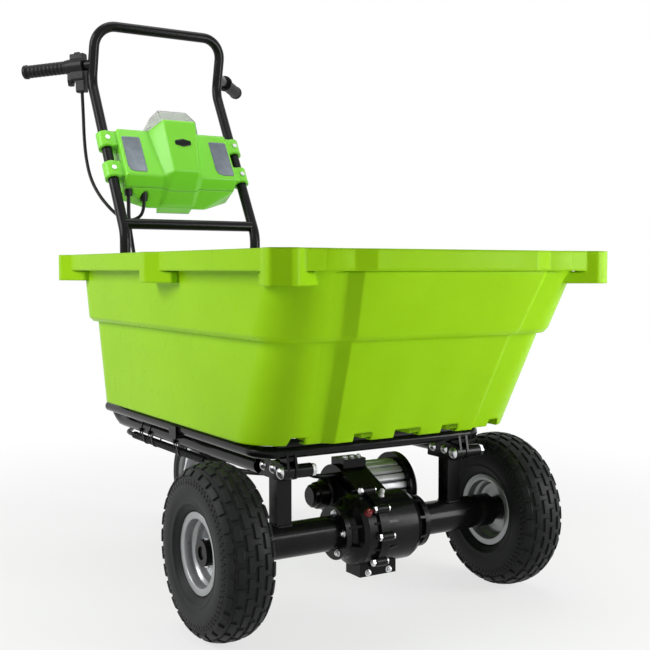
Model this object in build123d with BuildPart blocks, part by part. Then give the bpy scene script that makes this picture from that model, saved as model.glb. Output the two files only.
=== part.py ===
from build123d import *
import math
import os

# Electric garden cart: a plastic tipping bin on a tube frame, two driven wheels in front,
# one swivelling wheel at the back, and a push handle with a throttle and a battery box.
# Millimetres, +Z up, the drive axle and the tipping end face -Y, the handle is at +Y.
# The origin is on the floor, midway between the bin's front edge and the grips' ends.

# Clearances and fits
seat_gap = 0.05
running_gap = 0.05
moving_gap = 0.4
bolt_hole_gap = 0.1

# Reach of the whole cart from the drive axle
front_reach = 231.0
rear_reach = 989.0

# Drive wheels
tyre_diameter = 260.0
tyre_width = 79.0
track = 537.0
rim_half_width = 29.5
rim_sheet = 2.5
rim_seat_radius = 52.0
rim_flange_radius = 60.5
rim_well_radius = 46.0
tread_groove_width = 4.0
tread_groove_depth = 4.0
tread_groove_pitch = 15.0
shoulder_notches = 26
hub_radius = 19.5
hub_inner = 22.0
hub_outer = 24.0
shaft_radius = 10.0
hub_pin_radius = 4.0

# Drive axle, gearbox and motor
axle_tube_radius = 27.0
axle_tube_wall = 4.0
axle_tube_end = 242.0
bearing_width = 14.0
gearbox_left_end = -68.0
gearbox_seam = -8.0
gearbox_right_end = 92.0
drum_radius = 56.0
neck_radius = 42.0
seam_boss_radius = 7.0
seam_bolt_radius = 3.0
motor_behind = 95.0
motor_above = 38.0
motor_radius = 43.0
motor_fin_height = 3.0
motor_fins = 40
reduction_radius = 48.0
reduction_right = 44.0
motor_can_end = 110.0
motor_bell_end = 134.0
motor_bell_radius = 58.0
brake_radius = 24.0
brake_length = 34.0
web_thick = 12.0
web_radius = 30.0
rib_half = 2.0

# Frame under the bin
frame_rise = 111.0
post_x = 161.0
post_size = 25.0
post_wall = 2.5
plate_thick = 5.0
hinge_ahead = 33.0
hinge_pin_radius = 6.0
ear_thick = 4.0
ear_span = 45.0
ear_pitch = 14.0
ear_radius = 12.0
bracket_back = 36.0
rail_x = 175.0
rail_radius = 12.5
rail_wall = 2.0
rail_bend = 66.0
upright_behind = 668.0
upright_top = 470.0
cross_member_front = 540.0
cross_member_rear = 638.0

# Tipping bed
bed_tube_radius = 9.5
bed_tube_wall = 1.8
bed_tube_drop = 16.5
bed_half_width = 205.0
bed_front = -30.0
bed_back = 613.5
bed_rear_tube_behind = 604.0
bed_bend = 40.0
bar_size = 19.0
bar_height = 7.5
spacer_thick = 1.5
bar_wall = 1.6
bar_length = 430.0
bar_places = (40.0, 280.0, 520.0)
bin_bolt_x = 122.0
bolt_radius = 4.0
cradle_behind = 272.0
cradle_width = 28.0
cradle_sheet = 3.0
pad_thick = 3.0

# Bin
bin_wall = 4.0
bin_height = 279.0
ledge_height = 153.0
lip_height = 30.0
lip_half_width = 285.0
lip_front = -222.0
lip_back = 645.0
lip_corner = 20.0
lip_panel_half = 196.0
lip_panel_depth = 7.0
top_half_width = 263.0
top_front = -213.0
top_back = 636.0
top_corner = 63.0
ledge_half_width = 261.0
ledge_front = -171.0
ledge_back = 629.0
ledge_corner = 76.0
ledge_step = 16.5
ledge_chamfer = 7.0
floor_half_width = 240.5
floor_front = -85.0
floor_back = 597.5
floor_corner = 78.0
panel_depth = 10.0
panel_half_top = 155.0
panel_slope_top = 36.0
panel_half_floor = 129.0
panel_slope_floor = 26.0
groove_depth = 12.0
groove_places = ((0.0, 46.0), (80.0, 30.0), (-80.0, 30.0), (172.0, 46.0), (-172.0, 46.0))
post_drop = 19.0
post_out = 12.0
post_ahead = 9.0
corner_cut_x = 25.0
corner_cut_y = 14.0
side_rib_front = 195.0
side_rib_back = 224.0
side_pocket_front = 140.0

# Rear swivelling wheel
caster_behind = 585.0
caster_trail = 50.0
caster_diameter = 200.0
caster_tyre_half = 22.0
caster_rim_radius = 70.0
caster_axle_radius = 6.0
caster_plate_thick = 4.0
caster_plate_x = 55.0
caster_bolt_x = 42.0
fork_sheet = 4.0
fork_inside = 28.0
fork_flange = 19.0
kingpin_radius = 8.0
race_radius = 30.0

# Handle
leg_x = 149.0
handle_tube_radius = 11.0
handle_tube_wall = 1.8
leg_bottom = 292.0
leg_bend_z = 614.0
kink_behind = 859.0
kink_z = 947.0
handle_top_behind = 832.0
handle_top_z = 1065.0
crossbar_up = 22.0
handle_bolt_heights = (330.0, 440.0)
grip_up = 37.0
grip_sweep = 48.8
grip_drop = 2.7
grip_bar_length = 166.0
grip_start = 60.0
grip_end = 172.0
grip_radius = 14.0
grip_ribs = 9

# Control box, in the plane of the handle's legs: up the legs from the cross tube
box_half_width = 128.0
box_front = 27.0
box_back = 52.0
box_ridge_up = 104.0
box_top_up = 225.0
box_tip_up = 68.0
box_tip_half = 34.0
column_ridge_out = 47.0
column_top_out = 68.0
box_round = 6.0
clip_radius = 17.0
clip_length = 36.0
clip_places = (127.0, 203.0)
clip_screw_x = 149.0
bay_half_width = 29.0
bay_front = 40.0
bay_back = 40.0
bay_floor_up = 112.0
battery_gap = 1.0
cover_wall = 2.5
cover_height = 38.0
gland_radius = 8.0
gland_length = 20.0

# Cables
throttle_cable_radius = 3.6
motor_cable_radius = 4.0
conduit_radius = 7.0
conduit_bore = 5.0
conduit_ribs = 60
conduit_front = 235.0
conduit_back = 560.0
conduit_drop = 24.0

# Places that follow from the sizes above
axle_y = (front_reach - rear_reach) / 2
axle_z = tyre_diameter / 2
frame_z = axle_z + frame_rise
bed_z = frame_z + rail_radius + bed_tube_drop
bar_z = bed_z + bed_tube_radius
floor_z = bar_z + bar_height + spacer_thick
ledge_z = floor_z + ledge_height
rim_z = floor_z + bin_height
lip_z = rim_z - lip_height
motor_at = (motor_behind, axle_z + motor_above)
hinge_at = (-hinge_ahead, frame_z)


def behind(distance):
    """Y of a place this far behind the drive axle."""
    return axle_y + distance


def side_plane(x):
    """Plane facing +X whose own axes are the distance behind the axle and the height."""
    return Plane(origin=(x, axle_y, 0), x_dir=(0, 1, 0), z_dir=(1, 0, 0))


def front_plane(distance):
    """Plane facing the front whose own axes are X and the height."""
    return Plane(origin=(0, behind(distance), 0), x_dir=(1, 0, 0), z_dir=(0, -1, 0))


def bar_x(x_from, x_to, at, outer, inner=0.0):
    """Round bar or ring lying along X."""
    with BuildPart() as bar:
        with BuildSketch(side_plane(x_from)):
            with Locations(at):
                Circle(outer)
                if inner > 0:
                    Circle(inner, mode=Mode.SUBTRACT)
        extrude(amount=x_to - x_from)
    return bar.part


def bar_z_up(x, y, z_from, z_to, outer, inner=0.0):
    """Round bar or ring standing along Z."""
    with BuildPart() as bar:
        with BuildSketch(Plane.XY.offset(z_from)):
            with Locations((x, behind(y))):
                Circle(outer)
                if inner > 0:
                    Circle(inner, mode=Mode.SUBTRACT)
        extrude(amount=z_to - z_from)
    return bar.part


def block(x_from, x_to, y_from, y_to, z_from, z_to):
    """Straight block between the given places."""
    with BuildPart() as piece:
        with BuildSketch(Plane.XY.offset(z_from)):
            with Locations(((x_from + x_to) / 2, behind((y_from + y_to) / 2))):
                Rectangle(x_to - x_from, y_to - y_from)
        extrude(amount=z_to - z_from)
    return piece.part


def dome_bolt_x(x_face, toward, at, head_radius, head_height, shank_radius, shank_length):
    """Dome head bolt along X, its head on the face at x_face and its shank running toward +-X."""
    with BuildPart() as bolt:
        with BuildSketch(Plane(origin=(x_face, behind(at[0]), at[1]), x_dir=(toward, 0, 0),
                               z_dir=(0, -toward, 0))):
            with BuildLine():
                Polyline((0, 0), (-head_height, 0))
                ThreePointArc((-head_height, 0), (-head_height * 0.75, head_radius * 0.6), (0, head_radius))
                Polyline((0, head_radius), (0, shank_radius), (shank_length, shank_radius),
                         (shank_length, 0), (0, 0))
            make_face()
        revolve(axis=Axis((x_face, behind(at[0]), at[1]), (1, 0, 0)))
    return bolt.part


def nut_x(x_from, x_to, at, across, bore):
    """Hexagon nut along X."""
    with BuildPart() as nut:
        with BuildSketch(side_plane(x_from)):
            with Locations(at):
                RegularPolygon(across / 2, 6, major_radius=False)
                Circle(bore, mode=Mode.SUBTRACT)
        extrude(amount=x_to - x_from)
    return nut.part


def tube_run(points, bends, outer, wall=0.0):
    """Round tube, or rod when no wall is given, along straight runs joined by tangent bends."""
    with BuildPart() as run:
        with BuildLine() as route:
            if len(points) > 2:
                FilletPolyline(*points, radius=bends)
            else:
                Line(*points)
        with BuildSketch(Plane(origin=points[0], z_dir=Vector(*points[1]) - Vector(*points[0]))):
            Circle(outer)
            if wall > 0:
                Circle(outer - wall, mode=Mode.SUBTRACT)
        sweep(path=route.wires()[0])
    return run.part


def easy_bends(points, share=0.45, largest=400.0):
    """Bend radius at each inner point, as large as its shorter run allows."""
    radii = []
    for before, here, after in zip(points, points[1:], points[2:]):
        run_in = Vector(*here) - Vector(*before)
        run_out = Vector(*after) - Vector(*here)
        half_turn = math.radians(run_in.get_angle(run_out)) / 2
        radii.append(min(largest, share * min(run_in.length, run_out.length) / math.tan(half_turn)))
    return radii


def keep(piece, label):
    """Name a finished piece and write it."""
    piece.label = label
    export_step(piece, f"parts/{label}.step")


os.makedirs("parts", exist_ok=True)


# Bin: the outlines at each height, with the recessed panel in the front

def panel_at(z):
    """Half width and slope of the front panel at a height."""
    share = (z - floor_z) / (lip_z - floor_z)
    half = panel_half_floor + (panel_half_top - panel_half_floor) * share
    slope = panel_slope_floor + (panel_slope_top - panel_slope_floor) * share
    return half, slope


def bin_outline(z, half, front, back, corner, inset=0.0):
    """Level outline of the bin with its recessed front panel."""
    panel_half, slope = panel_at(z)
    bend = corner - inset
    x = half - inset
    y_front = behind(front + inset)
    y_back = behind(back - inset)
    with BuildSketch(Plane.XY.offset(z)) as outline:
        with BuildLine():
            FilletPolyline((x, y_back), (-x, y_back), (-x, y_front), (-panel_half - slope, y_front),
                           (-panel_half, y_front + panel_depth), (panel_half, y_front + panel_depth),
                           (panel_half + slope, y_front), (x, y_front),
                           radius=[bend, bend, bend, 6, 6, 6, 6, bend], close=True)
        make_face()
    return outline.sketch


def lip_outline(z, inset=0.0):
    """Level outline of the lip between its posts, with a step back over the front panel."""
    r = lip_corner - inset
    x = lip_half_width - inset
    f = behind(lip_front + inset)
    b = behind(lip_back - inset)
    p = lip_panel_half
    s = lip_panel_depth * 2
    with BuildSketch(Plane.XY.offset(z)) as outline:
        with BuildLine():
            FilletPolyline((x, b), (-x, b), (-x, f), (-p - s, f), (-p, f + lip_panel_depth),
                           (p, f + lip_panel_depth), (p + s, f), (x, f),
                           radius=[r, r, r, 4, 4, 4, 4, r], close=True)
        make_face()
    return outline.sketch


def bin_levels(inset):
    """The bin's outlines from the floor up, as (height, outline) in three stacked walls."""
    rise = bin_wall if inset > 0 else 0.0
    step = ledge_z + (1.5 * bin_wall if inset > 0 else 0.0)
    lower = [bin_outline(floor_z + rise, floor_half_width, floor_front, floor_back, floor_corner, inset),
             bin_outline(step, ledge_half_width - ledge_step, ledge_front + ledge_step,
                         ledge_back - ledge_step, ledge_corner - ledge_step, inset)]
    shoulder = [bin_outline(step, ledge_half_width - ledge_chamfer, ledge_front + ledge_chamfer,
                            ledge_back - ledge_chamfer, ledge_corner - ledge_chamfer, inset),
                bin_outline(step + ledge_chamfer, ledge_half_width, ledge_front, ledge_back,
                            ledge_corner, inset)]
    upper = [shoulder[1], bin_outline(lip_z, top_half_width, top_front, top_back, top_corner, inset)]
    return [lower, shoulder, upper]


def bin_body(inset, top_z):
    """Solid of the bin's walls, carried straight up through the lip."""
    with BuildPart() as body:
        for pair in bin_levels(inset):
            for outline in pair:
                add(outline)
            loft(ruled=True)
        add(bin_outline(lip_z, top_half_width, top_front, top_back, top_corner, inset))
        extrude(amount=top_z - lip_z)
    return body.part


with BuildPart() as bin_outer:
    add(bin_body(0.0, rim_z))

with BuildPart() as bin_inner:
    add(bin_body(bin_wall, rim_z + 1.0))

hang_z = lip_z - post_drop


def corner_post(sx, end):
    """Level outline of one corner post: cut across the corner, then slanting back under the lip."""
    x = lip_half_width + post_out
    y = post_ahead - lip_front if end < 0 else lip_back + post_ahead
    places = [(x - 35, y), (x - corner_cut_x, y), (x, y - corner_cut_y), (x, y - 31), (x - 26, y - 92),
              (x - 70, y - 92), (x - 86, y - 32)]
    corners = [(sx * px, behind(end * py)) for px, py in places]
    return FilletPolyline(*corners, radius=[6, 8, 8, 8, 6, 6, 6], close=True)


def side_rib(sx):
    """Level outline of one side's rib with the pocket that slants back from it."""
    x = lip_half_width + post_out
    places = [(x - 34, side_rib_back + 8), (x - 13, side_rib_back + 6), (x, side_rib_back - 5),
              (x, side_rib_front), (x - 22, side_pocket_front), (x - 34, side_pocket_front)]
    corners = [(sx * px, behind(py)) for px, py in places]
    return FilletPolyline(*corners, radius=[3, 4, 8, 8, 4, 3], close=True)


def hanging_pieces(inset, z_from, z_to):
    """The pieces that hang from the lip: the corner posts and the side ribs."""
    outlines = [corner_post for _ in range(4)] + [side_rib for _ in range(2)]
    places = [(-1, -1), (-1, 1), (1, -1), (1, 1), (-1,), (1,)]
    with BuildPart() as hang:
        for outline, place in zip(outlines, places):
            with BuildSketch(Plane.XY.offset(z_from)):
                with BuildLine():
                    add(outline(*place))
                make_face()
                if inset > 0:
                    offset(amount=-inset, kind=Kind.INTERSECTION, mode=Mode.REPLACE)
            extrude(amount=z_to - z_from)
    return hang.part


with BuildPart() as bin_hollow:
    add(lip_outline(lip_z - 1.0, bin_wall))
    extrude(amount=lip_height - bin_wall + 1.0)
    add(hanging_pieces(bin_wall, hang_z - 1.0, rim_z - bin_wall))
    add(bin_outer.part, mode=Mode.SUBTRACT)

with BuildPart() as floor_ridges:
    for groove_x, groove_width in groove_places:
        add(block(groove_x - groove_width / 2 - bin_wall, groove_x + groove_width / 2 + bin_wall,
                  floor_front - 40, floor_back + 40, floor_z, floor_z + groove_depth + bin_wall))
    add(bin_outer.part, mode=Mode.INTERSECT)

with BuildPart() as tub:
    add(bin_outer.part)
    add(lip_outline(lip_z))
    extrude(amount=lip_height)
    add(hanging_pieces(0.0, hang_z, rim_z))
    add(bin_hollow.part, mode=Mode.SUBTRACT)
    add(bin_inner.part, mode=Mode.SUBTRACT)
    add(floor_ridges.part)
    for groove_x, groove_width in groove_places:
        with BuildSketch(front_plane(floor_front - 60)):
            with BuildLine():
                left = groove_x - groove_width / 2
                right = groove_x + groove_width / 2
                top = floor_z + groove_depth
                Polyline((left, floor_z - 1), (right, floor_z - 1), (right - 4, top), (left + 4, top),
                         close=True)
            make_face()
        extrude(amount=-(floor_back - floor_front + 120), mode=Mode.SUBTRACT)
    for bar_y in bar_places:
        for sx in (-1, 1):
            add(bar_z_up(sx * bin_bolt_x, bar_y, floor_z - 1, floor_z + 20, bolt_radius + bolt_hole_gap),
                mode=Mode.SUBTRACT)
keep(tub.part, "bin")


# Tipping bed

bed_loop = [(-bed_half_width, behind(bed_back), bed_z), (-bed_half_width, behind(bed_front), bed_z),
            (bed_half_width, behind(bed_front), bed_z), (bed_half_width, behind(bed_back), bed_z)]
bed_rod = tube_run(bed_loop, [bed_bend, bed_bend], bed_tube_radius)

with BuildPart() as bed_frame:
    add(tube_run(bed_loop, [bed_bend, bed_bend], bed_tube_radius, bed_tube_wall))
keep(bed_frame.part, "bed_frame")

with BuildPart() as bed_rear_tube:
    add(bar_x(-bed_half_width, bed_half_width, (bed_rear_tube_behind, bed_z), bed_tube_radius,
              bed_tube_radius - bed_tube_wall))
    add(bed_rod, mode=Mode.SUBTRACT)
keep(bed_rear_tube.part, "bed_rear_tube")

with BuildPart() as bed_bars:
    for bar_y in bar_places:
        with BuildSketch(side_plane(-bar_length / 2)):
            with Locations((bar_y, bar_z + bar_height / 2)):
                Rectangle(bar_size, bar_height)
                Rectangle(bar_size - 2 * bar_wall, bar_height - 2 * bar_wall, mode=Mode.SUBTRACT)
        extrude(amount=bar_length)
        for sx in (-1, 1):
            add(bar_z_up(sx * bin_bolt_x, bar_y, bar_z - 1, floor_z + 1, bolt_radius + bolt_hole_gap),
                mode=Mode.SUBTRACT)
keep(bed_bars.part, "bed_bars")

washer_thick = 2.0
washer_radius = 12.0
with BuildPart() as bin_bolts:
    for bar_y in bar_places:
        for sx in (-1, 1):
            head_z = floor_z + bin_wall
            nut_z = bar_z - 7.0
            add(bar_z_up(sx * bin_bolt_x, bar_y, floor_z - spacer_thick, floor_z, washer_radius))
            add(bar_z_up(sx * bin_bolt_x, bar_y, head_z, head_z + washer_thick, washer_radius))
            add(bar_z_up(sx * bin_bolt_x, bar_y, head_z + washer_thick, head_z + washer_thick + 5, 7.0))
            add(bar_z_up(sx * bin_bolt_x, bar_y, nut_z, head_z, bolt_radius))
            with BuildSketch(Plane.XY.offset(nut_z)):
                with Locations((sx * bin_bolt_x, behind(bar_y))):
                    RegularPolygon(6.5, 6, major_radius=False)
            extrude(amount=bar_z - nut_z)
keep(bin_bolts.part, "bin_bolts")


# Posts, hinge brackets, hinge pins and the ears that hang the bed on them

bracket_outer = post_size / 2 + plate_thick
bracket_bolt_places = ((-9.0, frame_z + 3), (22.0, frame_z + 3))


def ears_start(sx):
    """X where one side's ears begin, beside its pin's plate."""
    return sx * post_x - post_size / 2 + moving_gap


with BuildPart() as posts:
    for sx in (-1, 1):
        with BuildSketch(Plane.XY.offset(axle_z)):
            with Locations((sx * post_x, behind(0))):
                Rectangle(post_size, post_size)
                Rectangle(post_size - 2 * post_wall, post_size - 2 * post_wall, mode=Mode.SUBTRACT)
        extrude(amount=frame_z + 11.0 - axle_z)
    add(bar_x(-axle_tube_end, axle_tube_end, (0, axle_z), axle_tube_radius), mode=Mode.SUBTRACT)
    add(bar_x(-axle_tube_end, axle_tube_end, bracket_bolt_places[0], bolt_radius + bolt_hole_gap),
        mode=Mode.SUBTRACT)
keep(posts.part, "posts")

with BuildPart() as hinge_brackets:
    for sx in (-1, 1):
        for side in (-1, 1):
            nose = -hinge_ahead if side < 0 else -5.0
            with BuildSketch(side_plane(sx * post_x + side * post_size / 2)):
                with BuildLine():
                    Polyline((nose, frame_z - 13), (bracket_back, frame_z - 13),
                             (bracket_back, frame_z + 13), (nose, frame_z + 13))
                    ThreePointArc((nose, frame_z + 13), (nose - 13, frame_z), (nose, frame_z - 13))
                make_face()
                if side < 0:
                    with Locations(hinge_at):
                        Circle(hinge_pin_radius, mode=Mode.SUBTRACT)
                with Locations(*bracket_bolt_places):
                    Circle(bolt_radius + bolt_hole_gap, mode=Mode.SUBTRACT)
            extrude(amount=side * plate_thick)
keep(hinge_brackets.part, "hinge_brackets")

with BuildPart() as hinge_pins:
    for sx in (-1, 1):
        ear_x = ears_start(sx)
        add(dome_bolt_x(sx * post_x - bracket_outer, 1, hinge_at, 10.0, 6.0, hinge_pin_radius,
                        plate_thick + moving_gap + ear_span + 2.0))
        add(nut_x(ear_x + ear_span + moving_gap, ear_x + ear_span + 7.0, hinge_at, 17.0,
                  hinge_pin_radius - 1.0))
keep(hinge_pins.part, "hinge_pins")

with BuildPart() as hinge_ears:
    for sx in (-1, 1):
        ear_x = ears_start(sx)
        for start in (ear_x, ear_x + ear_pitch):
            with BuildSketch(side_plane(start)):
                with Locations(hinge_at):
                    Circle(ear_radius)
                with Locations((bed_front, bed_z - 2)):
                    Circle(bed_tube_radius)
                make_hull()
            extrude(amount=ear_thick)
        add(bar_x(ear_x, ear_x + ear_span, hinge_at, ear_radius - 1.5))
        add(block(ear_x, ear_x + ear_pitch, bed_front - bed_tube_radius, bed_front + bed_tube_radius,
                  bed_z - bed_tube_radius - 3, bed_z - bed_tube_radius + 3))
    add(bed_rod, mode=Mode.SUBTRACT)
    add(bar_x(-axle_tube_end, axle_tube_end, hinge_at, hinge_pin_radius + running_gap), mode=Mode.SUBTRACT)
keep(hinge_ears.part, "hinge_ears")


# Rails that bend up into the uprights, their cross members and the cradles

def rail_points(sx):
    """Route of one rail from its bracket back and up behind the bin."""
    x = sx * rail_x
    return [(x, behind(bracket_back), frame_z), (x, behind(upright_behind), frame_z),
            (x, behind(upright_behind), upright_top)]


def leg_to_upright_bolts(sx, radius, x_in, x_out):
    """Round bars across the handle leg and the upright at the bolt heights."""
    with BuildPart() as bars:
        for bolt_z in handle_bolt_heights:
            add(bar_x(sx * x_in, sx * x_out, (upright_behind, bolt_z), radius))
    return bars.part


with BuildPart() as rails:
    for sx in (-1, 1):
        add(tube_run(rail_points(sx), [rail_bend], rail_radius, rail_wall))
        add(leg_to_upright_bolts(sx, bolt_radius + bolt_hole_gap, leg_x, rail_x + rail_radius + 2),
            mode=Mode.SUBTRACT)
keep(rails.part, "rails")

cradle_wall_x = bed_half_width + bed_tube_radius + 1.5
cradle_base_z = bed_z - bed_tube_radius - moving_gap - pad_thick
cradle_from = cradle_behind - cradle_width / 2
cradle_to = cradle_behind + cradle_width / 2

with BuildPart() as cradles:
    for sx in (-1, 1):
        x0, x1 = sorted((sx * rail_x, sx * (cradle_wall_x + cradle_sheet)))
        add(block(x0, x1, cradle_from, cradle_to, cradle_base_z - cradle_sheet, cradle_base_z))
        x0, x1 = sorted((sx * cradle_wall_x, sx * (cradle_wall_x + cradle_sheet)))
        add(block(x0, x1, cradle_from, cradle_to, cradle_base_z - cradle_sheet, bed_z + 5))
        add(tube_run(rail_points(sx)[:2], [], rail_radius), mode=Mode.SUBTRACT)
keep(cradles.part, "cradles")

with BuildPart() as cradle_pads:
    for sx in (-1, 1):
        x0, x1 = sorted((sx * (bed_half_width - bed_tube_radius), sx * (bed_half_width + bed_tube_radius)))
        add(block(x0, x1, cradle_from, cradle_to, cradle_base_z, cradle_base_z + pad_thick))
keep(cradle_pads.part, "cradle_pads")

caster_bolt_places = [(sx * caster_bolt_x, member_y) for sx in (-1, 1)
                      for member_y in (cross_member_front, cross_member_rear)]

with BuildPart() as cross_members:
    for member_y in (cross_member_front, cross_member_rear):
        add(bar_x(-rail_x, rail_x, (member_y, frame_z), rail_radius, rail_radius - rail_wall))
    for sx in (-1, 1):
        add(tube_run(rail_points(sx), [rail_bend], rail_radius), mode=Mode.SUBTRACT)
    for bolt_x, bolt_y in caster_bolt_places:
        add(bar_z_up(bolt_x, bolt_y, frame_z - 20, frame_z + 20, bolt_radius + bolt_hole_gap),
            mode=Mode.SUBTRACT)
keep(cross_members.part, "cross_members")


# Rear swivelling wheel

plate_top = frame_z - rail_radius
plate_bottom = plate_top - caster_plate_thick
caster_axle_z = caster_diameter / 2
caster_axle_at = (caster_behind + caster_trail, caster_axle_z)
crown_bottom = caster_diameter + 5.0
crown_top = crown_bottom + fork_sheet
plate_front = cross_member_front - 14.0
plate_back = cross_member_rear + 14.0

with BuildPart() as caster_plate:
    add(block(-caster_plate_x, caster_plate_x, plate_front, plate_back, plate_bottom, plate_top))
    add(bar_z_up(0, caster_behind, crown_top + moving_gap, plate_bottom, race_radius))
    add(bar_z_up(0, caster_behind, crown_top - 5, plate_top + 5, kingpin_radius + running_gap),
        mode=Mode.SUBTRACT)
    for bolt_x, bolt_y in caster_bolt_places:
        add(bar_z_up(bolt_x, bolt_y, plate_bottom - 5, plate_top + 5, bolt_radius + bolt_hole_gap),
            mode=Mode.SUBTRACT)
keep(caster_plate.part, "caster_plate")

with BuildPart() as caster_bolts:
    for bolt_x, bolt_y in caster_bolt_places:
        with BuildSketch(Plane.XY.offset(plate_bottom - 5)):
            with Locations((bolt_x, behind(bolt_y))):
                RegularPolygon(6.5, 6, major_radius=False)
        extrude(amount=5)
        add(bar_z_up(bolt_x, bolt_y, plate_bottom, frame_z + rail_radius, bolt_radius))
        add(bar_z_up(bolt_x, bolt_y, frame_z + rail_radius, frame_z + rail_radius + 5, 7.0))
keep(caster_bolts.part, "caster_bolts")

fork_front = caster_behind - 33.0
fork_crown_back = caster_behind + 30.0
with BuildPart() as caster_fork:
    add(block(-fork_inside - fork_sheet, fork_inside + fork_sheet, fork_front, fork_crown_back,
              crown_bottom, crown_top))
    for sx in (-1, 1):
        inner_x = sx * fork_inside
        axle_y_off, axle_h = caster_axle_at
        with BuildSketch(side_plane(inner_x)):
            with BuildLine():
                Polyline((fork_front, crown_top), (fork_crown_back, crown_top),
                         (axle_y_off + 16, axle_h + 6), (axle_y_off + 9, axle_h - 14),
                         (axle_y_off - 9, axle_h - 14), (axle_y_off - 17, axle_h), close=True)
            make_face()
            with Locations(caster_axle_at):
                Circle(caster_axle_radius, mode=Mode.SUBTRACT)
        extrude(amount=sx * fork_sheet)
        outer_x = sx * (fork_inside + fork_sheet)
        with BuildSketch(side_plane(outer_x)):
            with BuildLine():
                Polyline((fork_front, crown_top), (fork_front + fork_sheet, crown_top),
                         (axle_y_off - 17 + fork_sheet, axle_h + 2), (axle_y_off - 17, axle_h), close=True)
            make_face()
        extrude(amount=sx * fork_flange)
    add(bar_z_up(0, caster_behind, crown_bottom, crown_top + 1, kingpin_radius), mode=Mode.SUBTRACT)
keep(caster_fork.part, "caster_fork")

with BuildPart() as caster_kingpin:
    add(bar_z_up(0, caster_behind, crown_bottom - 4, crown_bottom, 13.0))
    add(bar_z_up(0, caster_behind, crown_bottom, plate_top + 9, kingpin_radius))
    add(bar_z_up(0, caster_behind, plate_top + moving_gap, plate_top + 8, 14.0))
keep(caster_kingpin.part, "caster_kingpin")

with BuildPart() as caster_axle:
    half = fork_inside + fork_sheet
    add(dome_bolt_x(-half, 1, caster_axle_at, 10.0, 6.0, caster_axle_radius, 2 * half + 8))
    add(nut_x(half, half + 7, caster_axle_at, 18.0, caster_axle_radius - 1))
keep(caster_axle.part, "caster_axle")


def caster_profile(points):
    """Face of a level profile (across, radius) turned about the caster's axle."""
    with BuildPart() as turned:
        with BuildSketch(Plane(origin=(0, behind(caster_axle_at[0]), caster_axle_z), x_dir=(1, 0, 0),
                               z_dir=(0, -1, 0))):
            with BuildLine():
                Polyline(*points, close=True)
            make_face()
        revolve(axis=Axis((0, behind(caster_axle_at[0]), caster_axle_z), (1, 0, 0)))
    return turned.part


with BuildPart() as caster_tyre:
    w = caster_tyre_half
    r = caster_diameter / 2
    add(caster_profile([(-w + 3, caster_rim_radius), (w - 3, caster_rim_radius), (w, caster_rim_radius + 8),
                        (w, r - 9), (w - 5, r - 3), (w - 13, r), (-w + 13, r), (-w + 5, r - 3), (-w, r - 9),
                        (-w, caster_rim_radius + 8)]))
keep(caster_tyre.part, "caster_tyre")

with BuildPart() as caster_rim:
    bore = caster_axle_radius + running_gap
    hub_w = fork_inside - moving_gap
    outer = caster_rim_radius
    add(caster_profile([(-hub_w, bore), (hub_w, bore), (hub_w, 17), (8, 20), (5, 24), (5, outer - 14),
                        (16, outer - 8), (19, outer), (-19, outer), (-16, outer - 8), (-5, outer - 14),
                        (-5, 24), (-8, 20), (-hub_w, 17)]))
keep(caster_rim.part, "caster_rim")


# Drive wheels

def wheel_plane(sx):
    """Plane through one wheel: its own axes are outward from the wheel's middle and the radius."""
    return Plane(origin=(sx * track / 2, axle_y, axle_z), x_dir=(sx, 0, 0), z_dir=(0, -sx, 0))


axle_line = Axis((0, axle_y, axle_z), (1, 0, 0))


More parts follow.
